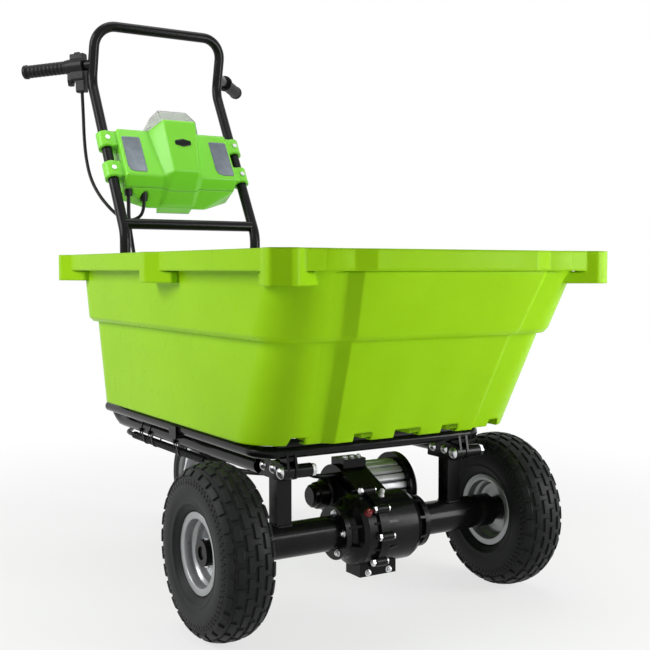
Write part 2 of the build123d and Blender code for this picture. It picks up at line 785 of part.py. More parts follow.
def drive_wheel(sx, name):
    """Tyre, rim, hub, hub pin and half shaft of one side."""
    plane = wheel_plane(sx)
    r = tyre_diameter / 2
    h = tyre_width / 2
    bead = rim_half_width - rim_sheet - seat_gap
    seat = rim_seat_radius + seat_gap
    top = rim_flange_radius + 1.0
    middle = (rim_flange_radius + r) / 2

    with BuildPart() as tyre:
        with BuildSketch(plane):
            with BuildLine():
                Line((bead, seat), (bead, top))
                ThreePointArc((bead, top), (h, middle), (h - 6, r - 8.5))
                ThreePointArc((h - 6, r - 8.5), (0, r), (6 - h, r - 8.5))
                ThreePointArc((6 - h, r - 8.5), (-h, middle), (-bead, top))
                Polyline((-bead, top), (-bead, seat), (8 - bead, seat), (8 - bead, top))
                ThreePointArc((8 - bead, top), (9 - h, middle), (14 - h, r - 17))
                ThreePointArc((14 - h, r - 17), (0, r - 10), (h - 14, r - 17))
                ThreePointArc((h - 14, r - 17), (h - 9, middle), (bead - 8, top))
                Polyline((bead - 8, top), (bead - 8, seat), (bead, seat))
            make_face()
        revolve(axis=axle_line)
        with BuildSketch(plane):
            with Locations((-tread_groove_pitch, r), (0, r), (tread_groove_pitch, r)):
                Rectangle(tread_groove_width, 2 * tread_groove_depth)
        revolve(axis=axle_line, mode=Mode.SUBTRACT)
        for end in (-1, 1):
            notch_x = sx * track / 2 + end * (tread_groove_pitch + tread_groove_width / 2 - 1)
            with BuildSketch(side_plane(notch_x)):
                with Locations((0, axle_z)):
                    with PolarLocations(r - 2.0, shoulder_notches, start_angle=3.0 * end):
                        Rectangle(14.0, 5.0)
            extrude(amount=end * tyre_width, mode=Mode.SUBTRACT)
    keep(tyre.part, f"tyre_{name}")

    with BuildPart() as rim:
        w = rim_half_width
        t = rim_sheet
        s = rim_seat_radius
        d = rim_well_radius
        with BuildSketch(plane):
            with BuildLine():
                Polyline((w, rim_flange_radius), (w - t, rim_flange_radius), (w - t, s), (14, s), (10, d),
                         (-10, d), (-14, s), (t - w, s), (t - w, rim_flange_radius),
                         (-w, rim_flange_radius), (-w, s - t), (-15, s - t), (-11, d - t), (-3, d - t),
                         (-3, hub_radius + seat_gap), (0, hub_radius + seat_gap), (0, d - t), (11, d - t),
                         (15, s - t), (w, s - t), close=True)
            make_face()
        revolve(axis=axle_line)
    keep(rim.part, f"rim_{name}")

    hub_from = sx * (track / 2 - hub_inner)
    hub_to = sx * (track / 2 + hub_outer)
    pin_x = sx * (track / 2 + 14.0)
    pin_half = hub_radius + 2.0

    def pin_bar(radius):
        with BuildPart() as bar:
            with BuildSketch(Plane.XY.offset(axle_z - pin_half)):
                with Locations((pin_x, axle_y)):
                    Circle(radius)
            extrude(amount=2 * pin_half)
        return bar.part

    with BuildPart() as hub:
        add(bar_x(hub_from, hub_to, (0, axle_z), hub_radius, shaft_radius + seat_gap))
        add(pin_bar(hub_pin_radius + seat_gap), mode=Mode.SUBTRACT)
    keep(hub.part, f"hub_{name}")

    with BuildPart() as hub_pin:
        add(pin_bar(hub_pin_radius))
    keep(hub_pin.part, f"hub_pin_{name}")

    shaft_start = gearbox_seam + sx * 6.0
    with BuildPart() as shaft:
        add(bar_x(shaft_start, sx * (track / 2 + hub_outer - 3), (0, axle_z), shaft_radius))
        add(pin_bar(hub_pin_radius + seat_gap), mode=Mode.SUBTRACT)
    keep(shaft.part, f"half_shaft_{name}")


drive_wheel(-1, "left")
drive_wheel(1, "right")


# Axle tubes, bearings, gearbox and motor

with BuildPart() as axle_tubes:
    for sx, start in ((-1, gearbox_left_end), (1, gearbox_right_end)):
        add(bar_x(start, sx * axle_tube_end, (0, axle_z), axle_tube_radius,
                  axle_tube_radius - axle_tube_wall))
keep(axle_tubes.part, "axle_tubes")

with BuildPart() as axle_bearings:
    for sx in (-1, 1):
        end = sx * (axle_tube_end - 3)
        add(bar_x(end - sx * bearing_width, end, (0, axle_z), axle_tube_radius - axle_tube_wall,
                  shaft_radius + running_gap))
keep(axle_bearings.part, "axle_bearings")

seam_angles = (98.0, 140.0, 180.0, 225.0, 300.0)
seam_places = [((drum_radius + 6) * math.cos(math.radians(a)),
                axle_z + (drum_radius + 6) * math.sin(math.radians(a))) for a in seam_angles]


def housing(points, boss_from, boss_to, lug_from, lug_to):
    """Drum casting turned about the axle, with its seam bosses and the foot under it."""
    with BuildPart() as casting:
        with BuildSketch(Plane(origin=(0, axle_y, axle_z), x_dir=(1, 0, 0), z_dir=(0, -1, 0))):
            with BuildLine():
                Polyline(*points, close=True)
            make_face()
        revolve(axis=axle_line)
        for at in seam_places:
            add(bar_x(boss_from, boss_to, at, seam_boss_radius))
        add(block(lug_from, lug_to, -26, 14, axle_z - drum_radius - 14, axle_z - drum_radius + 12))
    return casting.part


rib_angles = (75.0, 119.0, 160.0, 202.0, 322.0)


def casting_ribs(points):
    """Ribs that stand on a drum casting, along the axle from its neck to its seam."""
    with BuildPart() as ribs:
        for angle in rib_angles:
            turn = math.radians(angle)
            out = Vector(0, math.cos(turn), math.sin(turn))
            across = Vector(1, 0, 0).cross(out)
            with BuildSketch(Plane(origin=(0, axle_y, axle_z), x_dir=(1, 0, 0), z_dir=across)):
                with BuildLine():
                    Polyline(*points, close=True)
                make_face()
            extrude(amount=rib_half, both=True)
    return ribs.part


def seam_holes(x_from, x_to):
    """Bars for the seam bolts' holes."""
    with BuildPart() as holes:
        for at in seam_places:
            add(bar_x(x_from, x_to, at, seam_bolt_radius + bolt_hole_gap))
    return holes.part


shaft_bore = shaft_radius + running_gap
r = drum_radius
with BuildPart() as gearbox_left:
    x0 = gearbox_left_end
    x1 = gearbox_seam
    add(housing([(x0, 0), (x0, neck_radius), (x0 + 9, neck_radius), (x0 + 12, neck_radius - 6),
                 (x0 + 20, r - 14), (x0 + 26, r - 4), (x0 + 34, r), (x1 - 8, r), (x1 - 8, r + 5), (x1, r + 5),
                 (x1, 0)], x1 - 10, x1, x1 - 26, x1))
    add(casting_ribs([(x0 + 5, neck_radius - 8), (x0 + 5, neck_radius), (x1 - 4, r + 5), (x1 - 4, r - 12)]))
    with BuildSketch(side_plane(x1 - web_thick)):
        with Locations(motor_at):
            Circle(web_radius)
        with Locations((0, axle_z)):
            Circle(r - 14)
        make_hull()
    extrude(amount=web_thick)
    add(bar_x(x0 - 1, x1, (0, axle_z), shaft_bore), mode=Mode.SUBTRACT)
    add(seam_holes(x1 - 12, x1 + 1), mode=Mode.SUBTRACT)
keep(gearbox_left.part, "gearbox_left")

with BuildPart() as gearbox_right:
    x0 = gearbox_seam
    x1 = gearbox_right_end
    add(housing([(x0, 0), (x0, r + 5), (x0 + 8, r + 5), (x0 + 8, r), (x1 - 34, r), (x1 - 26, r - 4),
                 (x1 - 20, r - 14), (x1 - 12, neck_radius - 6), (x1 - 9, neck_radius), (x1, neck_radius),
                 (x1, 0)], x0, x0 + 10, x0, x0 + 42))
    add(casting_ribs([(x1 - 5, neck_radius - 8), (x1 - 5, neck_radius), (x0 + 4, r + 5), (x0 + 4, r - 12)]))
    add(block(x0 + 8, reduction_right, motor_at[0] - 20, motor_at[0] + 18,
              motor_at[1] + 30, motor_at[1] + 58))
    with BuildSketch(side_plane(x0)):
        with Locations(motor_at):
            Circle(reduction_radius)
        with Locations((0, axle_z)):
            Circle(drum_radius - 14)
        make_hull()
    extrude(amount=reduction_right - x0)
    add(bar_x(x0, x1 + 1, (0, axle_z), shaft_bore), mode=Mode.SUBTRACT)
    add(seam_holes(x0 - 1, x0 + 12), mode=Mode.SUBTRACT)
keep(gearbox_right.part, "gearbox_right")

with BuildPart() as gearbox_bolts:
    for at in seam_places:
        add(nut_x(gearbox_seam - 15, gearbox_seam - 10, at, 10.0, 0.5))
        add(bar_x(gearbox_seam - 14, gearbox_seam + 10, at, seam_bolt_radius))
        add(bar_x(gearbox_seam + 10, gearbox_seam + 13, at, 5.5))
keep(gearbox_bolts.part, "gearbox_bolts")

with BuildPart() as motor_can:
    with BuildSketch(side_plane(reduction_right)):
        with Locations(motor_at):
            Circle(motor_radius)
            with PolarLocations(motor_radius, motor_fins):
                Rectangle(2 * motor_fin_height, 2.6)
    extrude(amount=motor_can_end - reduction_right)
keep(motor_can.part, "motor_can")

with BuildPart() as motor_bell:
    with BuildSketch(Plane(origin=(motor_can_end, behind(motor_at[0]), motor_at[1]), x_dir=(1, 0, 0),
                           z_dir=(0, -1, 0))):
        length = motor_bell_end - motor_can_end
        with BuildLine():
            Polyline((0, 0), (0, motor_bell_radius), (length - 12, motor_bell_radius),
                     (length - 5, motor_bell_radius - 8), (length - 5, 22), (length, 18), (length, 0),
                     close=True)
        make_face()
    revolve(axis=Axis((0, behind(motor_at[0]), motor_at[1]), (1, 0, 0)))
keep(motor_bell.part, "motor_bell")

with BuildPart() as motor_brake:
    b = brake_radius
    cap = brake_length
    brake_at = (gearbox_seam - web_thick, behind(motor_at[0]), motor_at[1])
    with BuildSketch(Plane(origin=brake_at, x_dir=(-1, 0, 0), z_dir=(0, 1, 0))):
        with BuildLine():
            Polyline((0, 0), (0, b + 5), (5, b + 5), (7, b), (cap - 12, b - 2), (cap - 10, b - 5),
                     (cap - 4, b - 5), (cap, b - 9), (cap, 0), close=True)
        make_face()
    revolve(axis=Axis((0, behind(motor_at[0]), motor_at[1]), (1, 0, 0)))
keep(motor_brake.part, "motor_brake")


# Handle: the loop, its cross tube, the bolts at the uprights and the grip bars

def handle_points(sx):
    """Points of one leg from its foot to the top bar."""
    x = sx * leg_x
    return [(x, behind(upright_behind), leg_bottom), (x, behind(upright_behind), leg_bend_z),
            (x, behind(kink_behind), kink_z), (x, behind(handle_top_behind), handle_top_z)]


handle_route = handle_points(-1) + handle_points(1)[::-1]
handle_bends = [60, 50, 45, 45, 50, 60]
handle_rod = tube_run(handle_route, handle_bends, handle_tube_radius)

with BuildPart() as handle_frame:
    add(tube_run(handle_route, handle_bends, handle_tube_radius, handle_tube_wall))
    for sx in (-1, 1):
        add(leg_to_upright_bolts(sx, bolt_radius + bolt_hole_gap, leg_x - 15, leg_x + 15),
            mode=Mode.SUBTRACT)
keep(handle_frame.part, "handle_frame")

with BuildPart() as frame_bolts:
    for sx in (-1, 1):
        x_head = sx * (rail_x + rail_radius)
        x_nut = sx * (leg_x - handle_tube_radius)
        for bolt_z in handle_bolt_heights:
            at = (upright_behind, bolt_z)
            add(dome_bolt_x(x_head, -sx, at, 8.0, 5.0, bolt_radius, abs(x_head - x_nut) + 8))
            add(nut_x(x_nut, x_nut - sx * 6, at, 13.0, bolt_radius - 1))
        for at in bracket_bolt_places:
            x_face = sx * post_x - bracket_outer
            x_back = sx * post_x + bracket_outer
            add(dome_bolt_x(x_face, 1, at, 8.0, 5.0, bolt_radius, 2 * bracket_outer + 6))
            add(nut_x(x_back, x_back + 5, at, 13.0, bolt_radius - 1))
keep(frame_bolts.part, "frame_bolts")

with BuildPart() as handle_spacers:
    for sx in (-1, 1):
        for bolt_z in handle_bolt_heights:
            add(bar_x(sx * leg_x, sx * rail_x, (upright_behind, bolt_z), 8.0))
        add(bar_z_up(sx * leg_x, upright_behind, leg_bottom - 20, leg_bend_z, handle_tube_radius),
            mode=Mode.SUBTRACT)
        add(bar_z_up(sx * rail_x, upright_behind, frame_z, upright_top + 20, rail_radius), mode=Mode.SUBTRACT)
        add(leg_to_upright_bolts(sx, bolt_radius + bolt_hole_gap, leg_x - 15, rail_x + 15),
            mode=Mode.SUBTRACT)
keep(handle_spacers.part, "handle_spacers")

leg_run = Vector(0, kink_behind - upright_behind, kink_z - leg_bend_z).normalized()
leg_out = Vector(0, -leg_run.Z, leg_run.Y)
cross_at = Vector(0, behind(upright_behind), leg_bend_z) + leg_run * crossbar_up
upper_run = Vector(0, handle_top_behind - kink_behind, handle_top_z - kink_z).normalized()

with BuildPart() as handle_crossbar:
    add(bar_x(-leg_x, leg_x, (cross_at.Y - axle_y, cross_at.Z), handle_tube_radius,
              handle_tube_radius - handle_tube_wall))
    add(handle_rod, mode=Mode.SUBTRACT)
keep(handle_crossbar.part, "handle_crossbar")


def grip_direction(sx):
    """Direction of one grip, out and back from its leg."""
    sweep_angle = math.radians(grip_sweep)
    drop_angle = math.radians(grip_drop)
    return Vector(sx * math.cos(sweep_angle) * math.cos(drop_angle),
                  math.sin(sweep_angle) * math.cos(drop_angle), -math.sin(drop_angle))


def grip_plane(sx, along):
    """Plane across one grip bar; its second own axis points up."""
    d = grip_direction(sx)
    start = Vector(sx * leg_x, behind(kink_behind), kink_z) + upper_run * grip_up
    level = Vector(0, 0, 1).cross(d).normalized()
    return Plane(origin=start + d * along, x_dir=level, z_dir=d)


def grip_ring(sx, along, length, outer, inner=0.0):
    """Ring on one grip bar."""
    with BuildPart() as ring:
        with BuildSketch(grip_plane(sx, along)):
            Circle(outer)
            if inner > 0:
                Circle(inner, mode=Mode.SUBTRACT)
        extrude(amount=length)
    return ring.part


with BuildPart() as grip_bars:
    for sx in (-1, 1):
        add(grip_ring(sx, 0, grip_bar_length, handle_tube_radius, handle_tube_radius - handle_tube_wall))
    add(handle_rod, mode=Mode.SUBTRACT)
keep(grip_bars.part, "grip_bars")


def make_grip(sx, collar):
    """Ribbed grip over the end of one bar, with an end cap and, if asked, a collar."""
    d = grip_direction(sx)
    up = grip_plane(sx, 0)
    length = grip_end - grip_start
    pitch = (length - 24) / grip_ribs
    bore = handle_tube_radius + seat_gap
    low = grip_radius - 1.4
    first = grip_radius + (4.0 if collar else 1.0)
    edge = [(grip_start, bore), (grip_start, first), (grip_start + 6, first), (grip_start + 8, low)]
    for rib in range(grip_ribs):
        s = grip_start + 10 + rib * pitch
        edge += [(s, low), (s + pitch * 0.25, grip_radius), (s + pitch * 0.7, grip_radius),
                 (s + pitch * 0.95, low)]
    edge += [(grip_end - 9, grip_radius + 1.5), (grip_end - 3, grip_radius + 1), (grip_end, grip_radius - 4),
             (grip_end, 0), (grip_bar_length, 0), (grip_bar_length, bore)]
    with BuildPart() as grip:
        with BuildSketch(Plane(origin=up.origin, x_dir=d, z_dir=up.x_dir)):
            with BuildLine():
                Polyline(*edge, close=True)
            make_face()
        revolve(axis=Axis(up.origin, d))
    return grip.part


with BuildPart() as grip_left:
    add(make_grip(-1, False))
keep(grip_left.part, "grip_left")

with BuildPart() as grip_right:
    add(make_grip(1, True))
keep(grip_right.part, "grip_right")


# Throttle on the left bar: housing with its cable block, the thumb lever and the direction rocker

throttle_from = 20.0
throttle_to = 50.0
throttle_block_bottom = -58.0
rocker_pin_at = (0.0, 23.5)
rocker_pin_radius = 1.5
lever_from = throttle_to + moving_gap
lever_to = grip_start - moving_gap
bar_bore = handle_tube_radius + seat_gap

with BuildPart() as throttle_housing:
    with BuildSketch(grip_plane(-1, throttle_from)):
        Circle(18.0)
        with Locations((0, 15)):
            RectangleRounded(22, 22, 5)
        with Locations((0, -20)):
            RectangleRounded(24, 26, 5)
        Circle(bar_bore, mode=Mode.SUBTRACT)
    extrude(amount=throttle_to - throttle_from)
    with BuildSketch(grip_plane(-1, throttle_from)):
        with Locations((0, throttle_block_bottom + 14)):
            RectangleRounded(18, 28, 4)
    extrude(amount=20)
    with BuildSketch(grip_plane(-1, throttle_from + 8)):
        with Locations((0, 24.5)):
            Rectangle(14, 9)
    extrude(amount=14, mode=Mode.SUBTRACT)
    with BuildSketch(grip_plane(-1, throttle_from + 7)):
        with Locations(rocker_pin_at):
            Circle(rocker_pin_radius)
    extrude(amount=16)
keep(throttle_housing.part, "throttle_housing")

with BuildPart() as direction_rocker:
    with BuildSketch(grip_plane(-1, throttle_from + 8 + moving_gap)):
        with BuildLine():
            Polyline((-5.6, 21.4), (0, 20.6), (5.6, 21.4), (6.0, 29.0), (0, 27.2), (-6.0, 29.0), close=True)
        make_face()
        with Locations(rocker_pin_at):
            Circle(rocker_pin_radius + running_gap, mode=Mode.SUBTRACT)
    extrude(amount=14 - 2 * moving_gap)
keep(direction_rocker.part, "direction_rocker")

with BuildPart() as throttle_lever:
    with BuildSketch(grip_plane(-1, lever_from)):
        Circle(16.0)
        with BuildLine():
            Polyline((-9, -8), (7, -8), (9, -30), (6, -42), (-4, -42), (-8, -30), close=True)
        make_face()
        Circle(handle_tube_radius + running_gap, mode=Mode.SUBTRACT)
    extrude(amount=lever_to - lever_from)
keep(throttle_lever.part, "throttle_lever")


# Control box on the handle's legs

handle_plane = Plane(origin=cross_at, x_dir=(1, 0, 0), z_dir=leg_out)
box_side = Plane(origin=cross_at, x_dir=leg_out, z_dir=(-1, 0, 0))


def up_plane(up):
    """Plane across the legs at a distance up them; its own axes are X and forward out of the legs."""
    return Plane(origin=cross_at + leg_run * up, x_dir=(-1, 0, 0), z_dir=leg_run)


def in_box(x, out, up):
    """Point of the control box from its X, its distance out of the legs' plane and up the legs."""
    return cross_at + Vector(x, 0, 0) + leg_out * out + leg_run * up


def column_outline(up, base_half, base_out, front_half, front_out):
    """Section of the box's middle column."""
    with BuildSketch(up_plane(up)) as outline:
        with BuildLine():
            Polyline((-base_half, base_out), (-front_half, front_out), (front_half, front_out),
                     (base_half, base_out), (base_half, base_out - 30), (-base_half, base_out - 30),
                     close=True)
        make_face()
    return outline.sketch


gland_tilt = Vector(0, 0, -1)
gland_places = {"motor": in_box(-116, -10, 92), "throttle": in_box(-80, -18, 86)}


def gland_bar(place, back, ahead, radius):
    """Round bar along a gland's own line."""
    with BuildPart() as bar:
        with BuildSketch(Plane(origin=place - gland_tilt * back, z_dir=gland_tilt)):
            Circle(radius)
        extrude(amount=back + ahead)
    return bar.part


def forward_of_legs(edge):
    """Distance of an edge's middle out of the legs' plane."""
    return (edge.center() - cross_at).dot(leg_out)


with BuildPart() as box_wings:
    with BuildSketch(box_side):
        with BuildLine():
            Polyline((box_front - 4, box_top_up), (box_front, box_ridge_up), (-45, box_tip_up),
                     (-box_back, box_tip_up + 9), (-box_back, box_top_up), close=True)
        make_face()
    extrude(amount=box_half_width, both=True)
    for sx in (-1, 1):
        with BuildSketch(handle_plane.offset(-box_back - 5)):
            with BuildLine():
                Polyline((sx * box_tip_half, box_tip_up - 10), (sx * 150, 100), (sx * 150, box_tip_up - 10),
                         close=True)
            make_face()
        extrude(amount=box_back + box_front + 10, mode=Mode.SUBTRACT)
    fillet(box_wings.edges(), box_round)

with BuildPart() as box_column:
    add(column_outline(box_ridge_up, 50, 20, 27, column_ridge_out))
    add(column_outline(box_top_up, 58, 20, 37, column_top_out))
    loft(ruled=True)
    add(column_outline(box_tip_up + 3, 38, -36, 33, -32))
    add(column_outline(box_ridge_up, 50, 20, 27, column_ridge_out))
    loft(ruled=True)
    fillet(box_column.edges().filter_by(lambda edge: forward_of_legs(edge) > 2.0), box_round)

with BuildPart() as box_whole:
    add(box_wings.part)
    add(box_column.part)
    for clip_up in clip_places:
        for sx in (-1, 1):
            with BuildSketch(up_plane(clip_up - clip_length / 2)):
                with Locations((sx * leg_x, 0)):
                    Circle(clip_radius)
                with Locations((sx * (leg_x + box_half_width) / 2 - sx * 4, 0)):
                    Rectangle(leg_x - box_half_width + 8, 2 * clip_radius - 4)
            extrude(amount=clip_length)
    with BuildSketch(up_plane(bay_floor_up)):
        with Locations((0, (bay_front - bay_back) / 2)):
            RectangleRounded(2 * bay_half_width, bay_front + bay_back, 6)
    extrude(amount=box_top_up - bay_floor_up + 30, mode=Mode.SUBTRACT)
    add(handle_rod, mode=Mode.SUBTRACT)
    for place in gland_places.values():
        add(gland_bar(place, 40, gland_length, gland_radius), mode=Mode.SUBTRACT)

with BuildPart() as box_front_shell:
    add(box_whole.part)
    split(bisect_by=handle_plane, keep=Keep.TOP)
keep(box_front_shell.part, "box_front")

cover_hinge_out = -box_back + 4
cover_hinge_up = box_top_up + 5.0
hinge_bar_radius = 4.0
hinge_wire_radius = 1.5


def cover_bar(x_from, x_to, radius, inner=0.0):
    """Round bar or ring on the cover's hinge line."""
    at = in_box(0, cover_hinge_out, cover_hinge_up)
    return bar_x(x_from, x_to, (at.Y - axle_y, at.Z), radius, inner)


with BuildPart() as box_rear_shell:
    add(box_whole.part)
    split(bisect_by=handle_plane, keep=Keep.BOTTOM)
    with BuildSketch(box_side):
        with Locations((cover_hinge_out, cover_hinge_up - 3)):
            Rectangle(2 * hinge_bar_radius, 2 * hinge_bar_radius)
    extrude(amount=18, both=True)
    add(cover_bar(-18, 18, hinge_bar_radius))
    add(cover_bar(-43, 43, hinge_wire_radius))
keep(box_rear_shell.part, "box_rear")

with BuildPart() as gland_nuts:
    for place in gland_places.values():
        add(gland_bar(place, 39, gland_length - 6, gland_radius - seat_gap))
keep(gland_nuts.part, "cable_glands")

with BuildPart() as clip_screws:
    for clip_up in clip_places:
        for sx in (-1, 1):
            screw_at = in_box(sx * clip_screw_x, clip_radius - 0.6, clip_up)
            with BuildSketch(Plane(origin=screw_at, x_dir=(1, 0, 0), z_dir=leg_out)):
                Circle(5.0)
            extrude(amount=2.6)
    add(box_whole.part, mode=Mode.SUBTRACT)
keep(clip_screws.part, "clip_screws")

with BuildPart() as battery_pack:
    with BuildSketch(up_plane(bay_floor_up + battery_gap / 2)):
        with Locations((0, (bay_front - bay_back) / 2)):
            RectangleRounded(2 * (bay_half_width - battery_gap), bay_front + bay_back - 2 * battery_gap, 5)
    extrude(amount=box_top_up - bay_floor_up + 3)
keep(battery_pack.part, "battery_pack")


def cover_loft(inset):
    """Solid of the cover's dome, smaller by an inset."""
    base = [(-62, -box_back + 8), (-62, 20), (-40, 62), (40, 62), (62, 20), (62, -box_back + 8)]
    top = [(-42, -box_back + 18), (-42, 14), (-33, 44), (33, 44), (42, 14), (42, -box_back + 18)]
    start = box_top_up + moving_gap - (1 if inset > 0 else 0)
    with BuildPart() as dome:
        for outline, up in ((base, start), (top, box_top_up + cover_height - inset)):
            with BuildSketch(up_plane(up)):
                with BuildLine():
                    Polyline(*outline, close=True)
                make_face()
                if inset > 0:
                    offset(amount=-inset, kind=Kind.INTERSECTION, mode=Mode.REPLACE)
        loft(ruled=True)
    return dome.part


with BuildPart() as battery_cover:
    add(cover_loft(0.0))
    with BuildSketch(box_side):
        with Locations((cover_hinge_out + 5, cover_hinge_up)):
            Rectangle(12, 2 * hinge_bar_radius - 2)
    extrude(amount=44, both=True)
    add(cover_bar(-44, 44, hinge_bar_radius))
    add(cover_bar(-18 - moving_gap, 18 + moving_gap, hinge_bar_radius + 1.2), mode=Mode.SUBTRACT)
    add(cover_loft(cover_wall), mode=Mode.SUBTRACT)
    add(cover_bar(-45, 45, hinge_wire_radius + running_gap), mode=Mode.SUBTRACT)
keep(battery_cover.part, "battery_cover")


# Tip latch behind the bed: drawn closed over the bed's rear tube, then turned open

latch_pivot = (bed_rear_tube_behind + 40.0, bed_z + 6.0)
latch_open = 24.0
latch_half = 5.0
latch_reach = bed_rear_tube_behind - 2.0

with BuildPart() as tip_latch:
    hook_z = bed_z + bed_tube_radius + moving_gap + 0.6
    py, pz = latch_pivot
    with BuildSketch(side_plane(-latch_half)):
        with BuildLine():
            Polyline((py - 9, pz), (py - 12, hook_z), (latch_reach, hook_z), (latch_reach + 1, hook_z + 9),
                     (py, hook_z + 9), (py + 12, pz + 4), (py + 52, pz + 10), (py + 52, pz + 4),
                     (py + 8, pz - 9), (py - 5, pz - 9), close=True)
        make_face()
        with Locations(latch_pivot):
            Circle(5.0 + running_gap, mode=Mode.SUBTRACT)
    extrude(amount=2 * latch_half)
    add(block(-25, 25, py + 46, py + 62, pz + 4, pz + 10))
latch_line = Axis((0, behind(latch_pivot[0]), latch_pivot[1]), (1, 0, 0))
open_latch = tip_latch.part.rotate(latch_line, -latch_open)
keep(open_latch, "tip_latch")

with BuildPart() as latch_bracket:
    for sx in (-1, 1):
        x_from = sx * (latch_half + moving_gap)
        with BuildSketch(side_plane(x_from)):
            with Locations(latch_pivot):
                Circle(9.0)
            with Locations((cross_member_rear, frame_z + rail_radius - 4)):
                Circle(7.0)
            make_hull()
            with Locations(latch_pivot):
                Circle(5.0, mode=Mode.SUBTRACT)
        extrude(amount=sx * 4)
    add(bar_x(-20, 20, (cross_member_rear, frame_z), rail_radius), mode=Mode.SUBTRACT)
keep(latch_bracket.part, "latch_bracket")

with BuildPart() as latch_pin:
    half = latch_half + moving_gap + 4
    add(dome_bolt_x(-half, 1, latch_pivot, 8.0, 4.0, 5.0, 2 * half + 3))
keep(latch_pin.part, "latch_pin")


# Cables: the hanging throttle cable, the held motor cable and its conduit under the left rail

throttle_block = grip_plane(-1, throttle_from + 10)
throttle_exit = throttle_block.origin + throttle_block.y_dir * throttle_block_bottom
throttle_in = gland_places["throttle"] + gland_tilt * (gland_length - 6)
throttle_turn = throttle_in + gland_tilt * 26
throttle_hang = throttle_exit - throttle_block.y_dir * 45
throttle_points = [tuple(throttle_exit), tuple(throttle_hang), (-167, behind(862), 828),
                   (-168, behind(848), 780),
                   (-166, behind(826), 734), (-157, behind(796), 696),
                   (-141, behind(770), 666), (-122, behind(755), 646), (-100, behind(744), 643),
                   tuple(throttle_turn), tuple(throttle_in)]
with BuildPart() as throttle_cable:
    add(tube_run(throttle_points, easy_bends(throttle_points), throttle_cable_radius))
keep(throttle_cable.part, "throttle_cable")

conduit_z = frame_z - conduit_drop
motor_out = gland_places["motor"] + gland_tilt * (gland_length - 6)
cable_x = -(leg_x - handle_tube_radius - 19.0)
motor_turn = motor_out + gland_tilt * 50
motor_points = [tuple(motor_out), tuple(motor_turn), (cable_x, behind(694), 560), (cable_x, behind(672), 440),
                (cable_x, behind(664), 310), (cable_x - 8, behind(663), conduit_z + 26),
                (cable_x - 26, behind(645), conduit_z - 1), (-rail_x, behind(600), conduit_z),
                (-rail_x, behind(conduit_front - 60), conduit_z), (-rail_x + 4, behind(95), conduit_z + 3),
                (-146, behind(56), frame_z - 19), (-84, behind(60), frame_z - 24),
                (gearbox_seam - 40, behind(80), axle_z + 72), (gearbox_seam, behind(80), axle_z + 72)]
with BuildPart() as motor_cable:
    add(tube_run(motor_points, easy_bends(motor_points, largest=90.0), motor_cable_radius))
keep(motor_cable.part, "motor_cable")

rib_pitch = (conduit_back - conduit_front) / conduit_ribs
with BuildPart() as conduit:
    for rib in range(conduit_ribs):
        start = conduit_front + rib * rib_pitch
        for share, radius in ((0.0, 1.0), (0.35, 1.0), (0.5, 0.8), (1.0, 0.8)):
            with BuildSketch(front_plane(start + share * rib_pitch)):
                with Locations((-rail_x, conduit_z)):
                    Circle(conduit_radius * radius)
        loft(ruled=True)
    with BuildSketch(front_plane(conduit_front)):
        with Locations((-rail_x, conduit_z)):
            Circle(conduit_bore)
    extrude(amount=conduit_front - conduit_back, mode=Mode.SUBTRACT)
keep(conduit.part, "motor_conduit")

for name, cord, points, radius in (("throttle cable", throttle_cable, throttle_points, throttle_cable_radius),
                                   ("motor cable", motor_cable, motor_points, motor_cable_radius)):
    length = cord.part.volume / (math.pi * radius ** 2)
    largest = 90.0 if name == "motor cable" else 400.0
    bends = ", ".join(f"{bend:.0f}" for bend in easy_bends(points, largest=largest))
    print(f"{name}: length {length:.0f} mm, bend radii {bends}")
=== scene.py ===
import logging
import math
from dataclasses import dataclass
from enum import Enum
from typing import Callable, NamedTuple, Optional, Sequence

import bmesh
import bpy
from mathutils import Matrix, Vector


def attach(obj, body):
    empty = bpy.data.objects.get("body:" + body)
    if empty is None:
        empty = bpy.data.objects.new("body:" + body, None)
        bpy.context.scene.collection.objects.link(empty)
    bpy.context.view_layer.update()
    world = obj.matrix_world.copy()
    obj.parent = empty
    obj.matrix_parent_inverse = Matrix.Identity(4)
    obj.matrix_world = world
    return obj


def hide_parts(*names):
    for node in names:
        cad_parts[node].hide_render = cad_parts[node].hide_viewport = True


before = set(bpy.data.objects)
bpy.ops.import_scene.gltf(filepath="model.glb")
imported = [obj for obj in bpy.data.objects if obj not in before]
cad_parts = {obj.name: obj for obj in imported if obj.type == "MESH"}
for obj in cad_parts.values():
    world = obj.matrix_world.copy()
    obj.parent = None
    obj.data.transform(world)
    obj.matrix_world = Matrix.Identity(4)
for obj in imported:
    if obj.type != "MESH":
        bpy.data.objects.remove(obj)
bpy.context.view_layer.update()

LOG = logging.getLogger("garden_cart")

Point = tuple[float, float, float]
Colour = tuple[float, float, float]
Profile = tuple[tuple[float, float], ...]
Socket = bpy.types.NodeSocket
Inputs = dict[object, object]
Test = Callable[[Vector, Vector], bool]

MM = 0.001
AXLE_Y = -0.379
AXLE_Z = 0.130
ORIGIN: Point = (0.0, 0.0, 0.0)
ALONG, BACK, UP = Vector((1.0, 0.0, 0.0)), Vector((0.0, 1.0, 0.0)), Vector((0.0, 0.0, 1.0))
WHITE = (1.0, 1.0, 1.0, 1.0)
NOISE_LOW, NOISE_HIGH = 0.3, 0.7
SQUARE_ON = 0.9


class Slot(Enum):
    """Material slots of the record."""

    BIN = "bin_plastic"
    FRAME = "black_frame"
    ZINC = "zinc"
    MOTOR = "motor_silver"
    RIM = "rim_paint"
    TYRE = "tyre_rubber"
    BLACK_PLASTIC = "black_plastic"
    RUBBER = "soft_rubber"
    SWITCH = "switch_plastic"


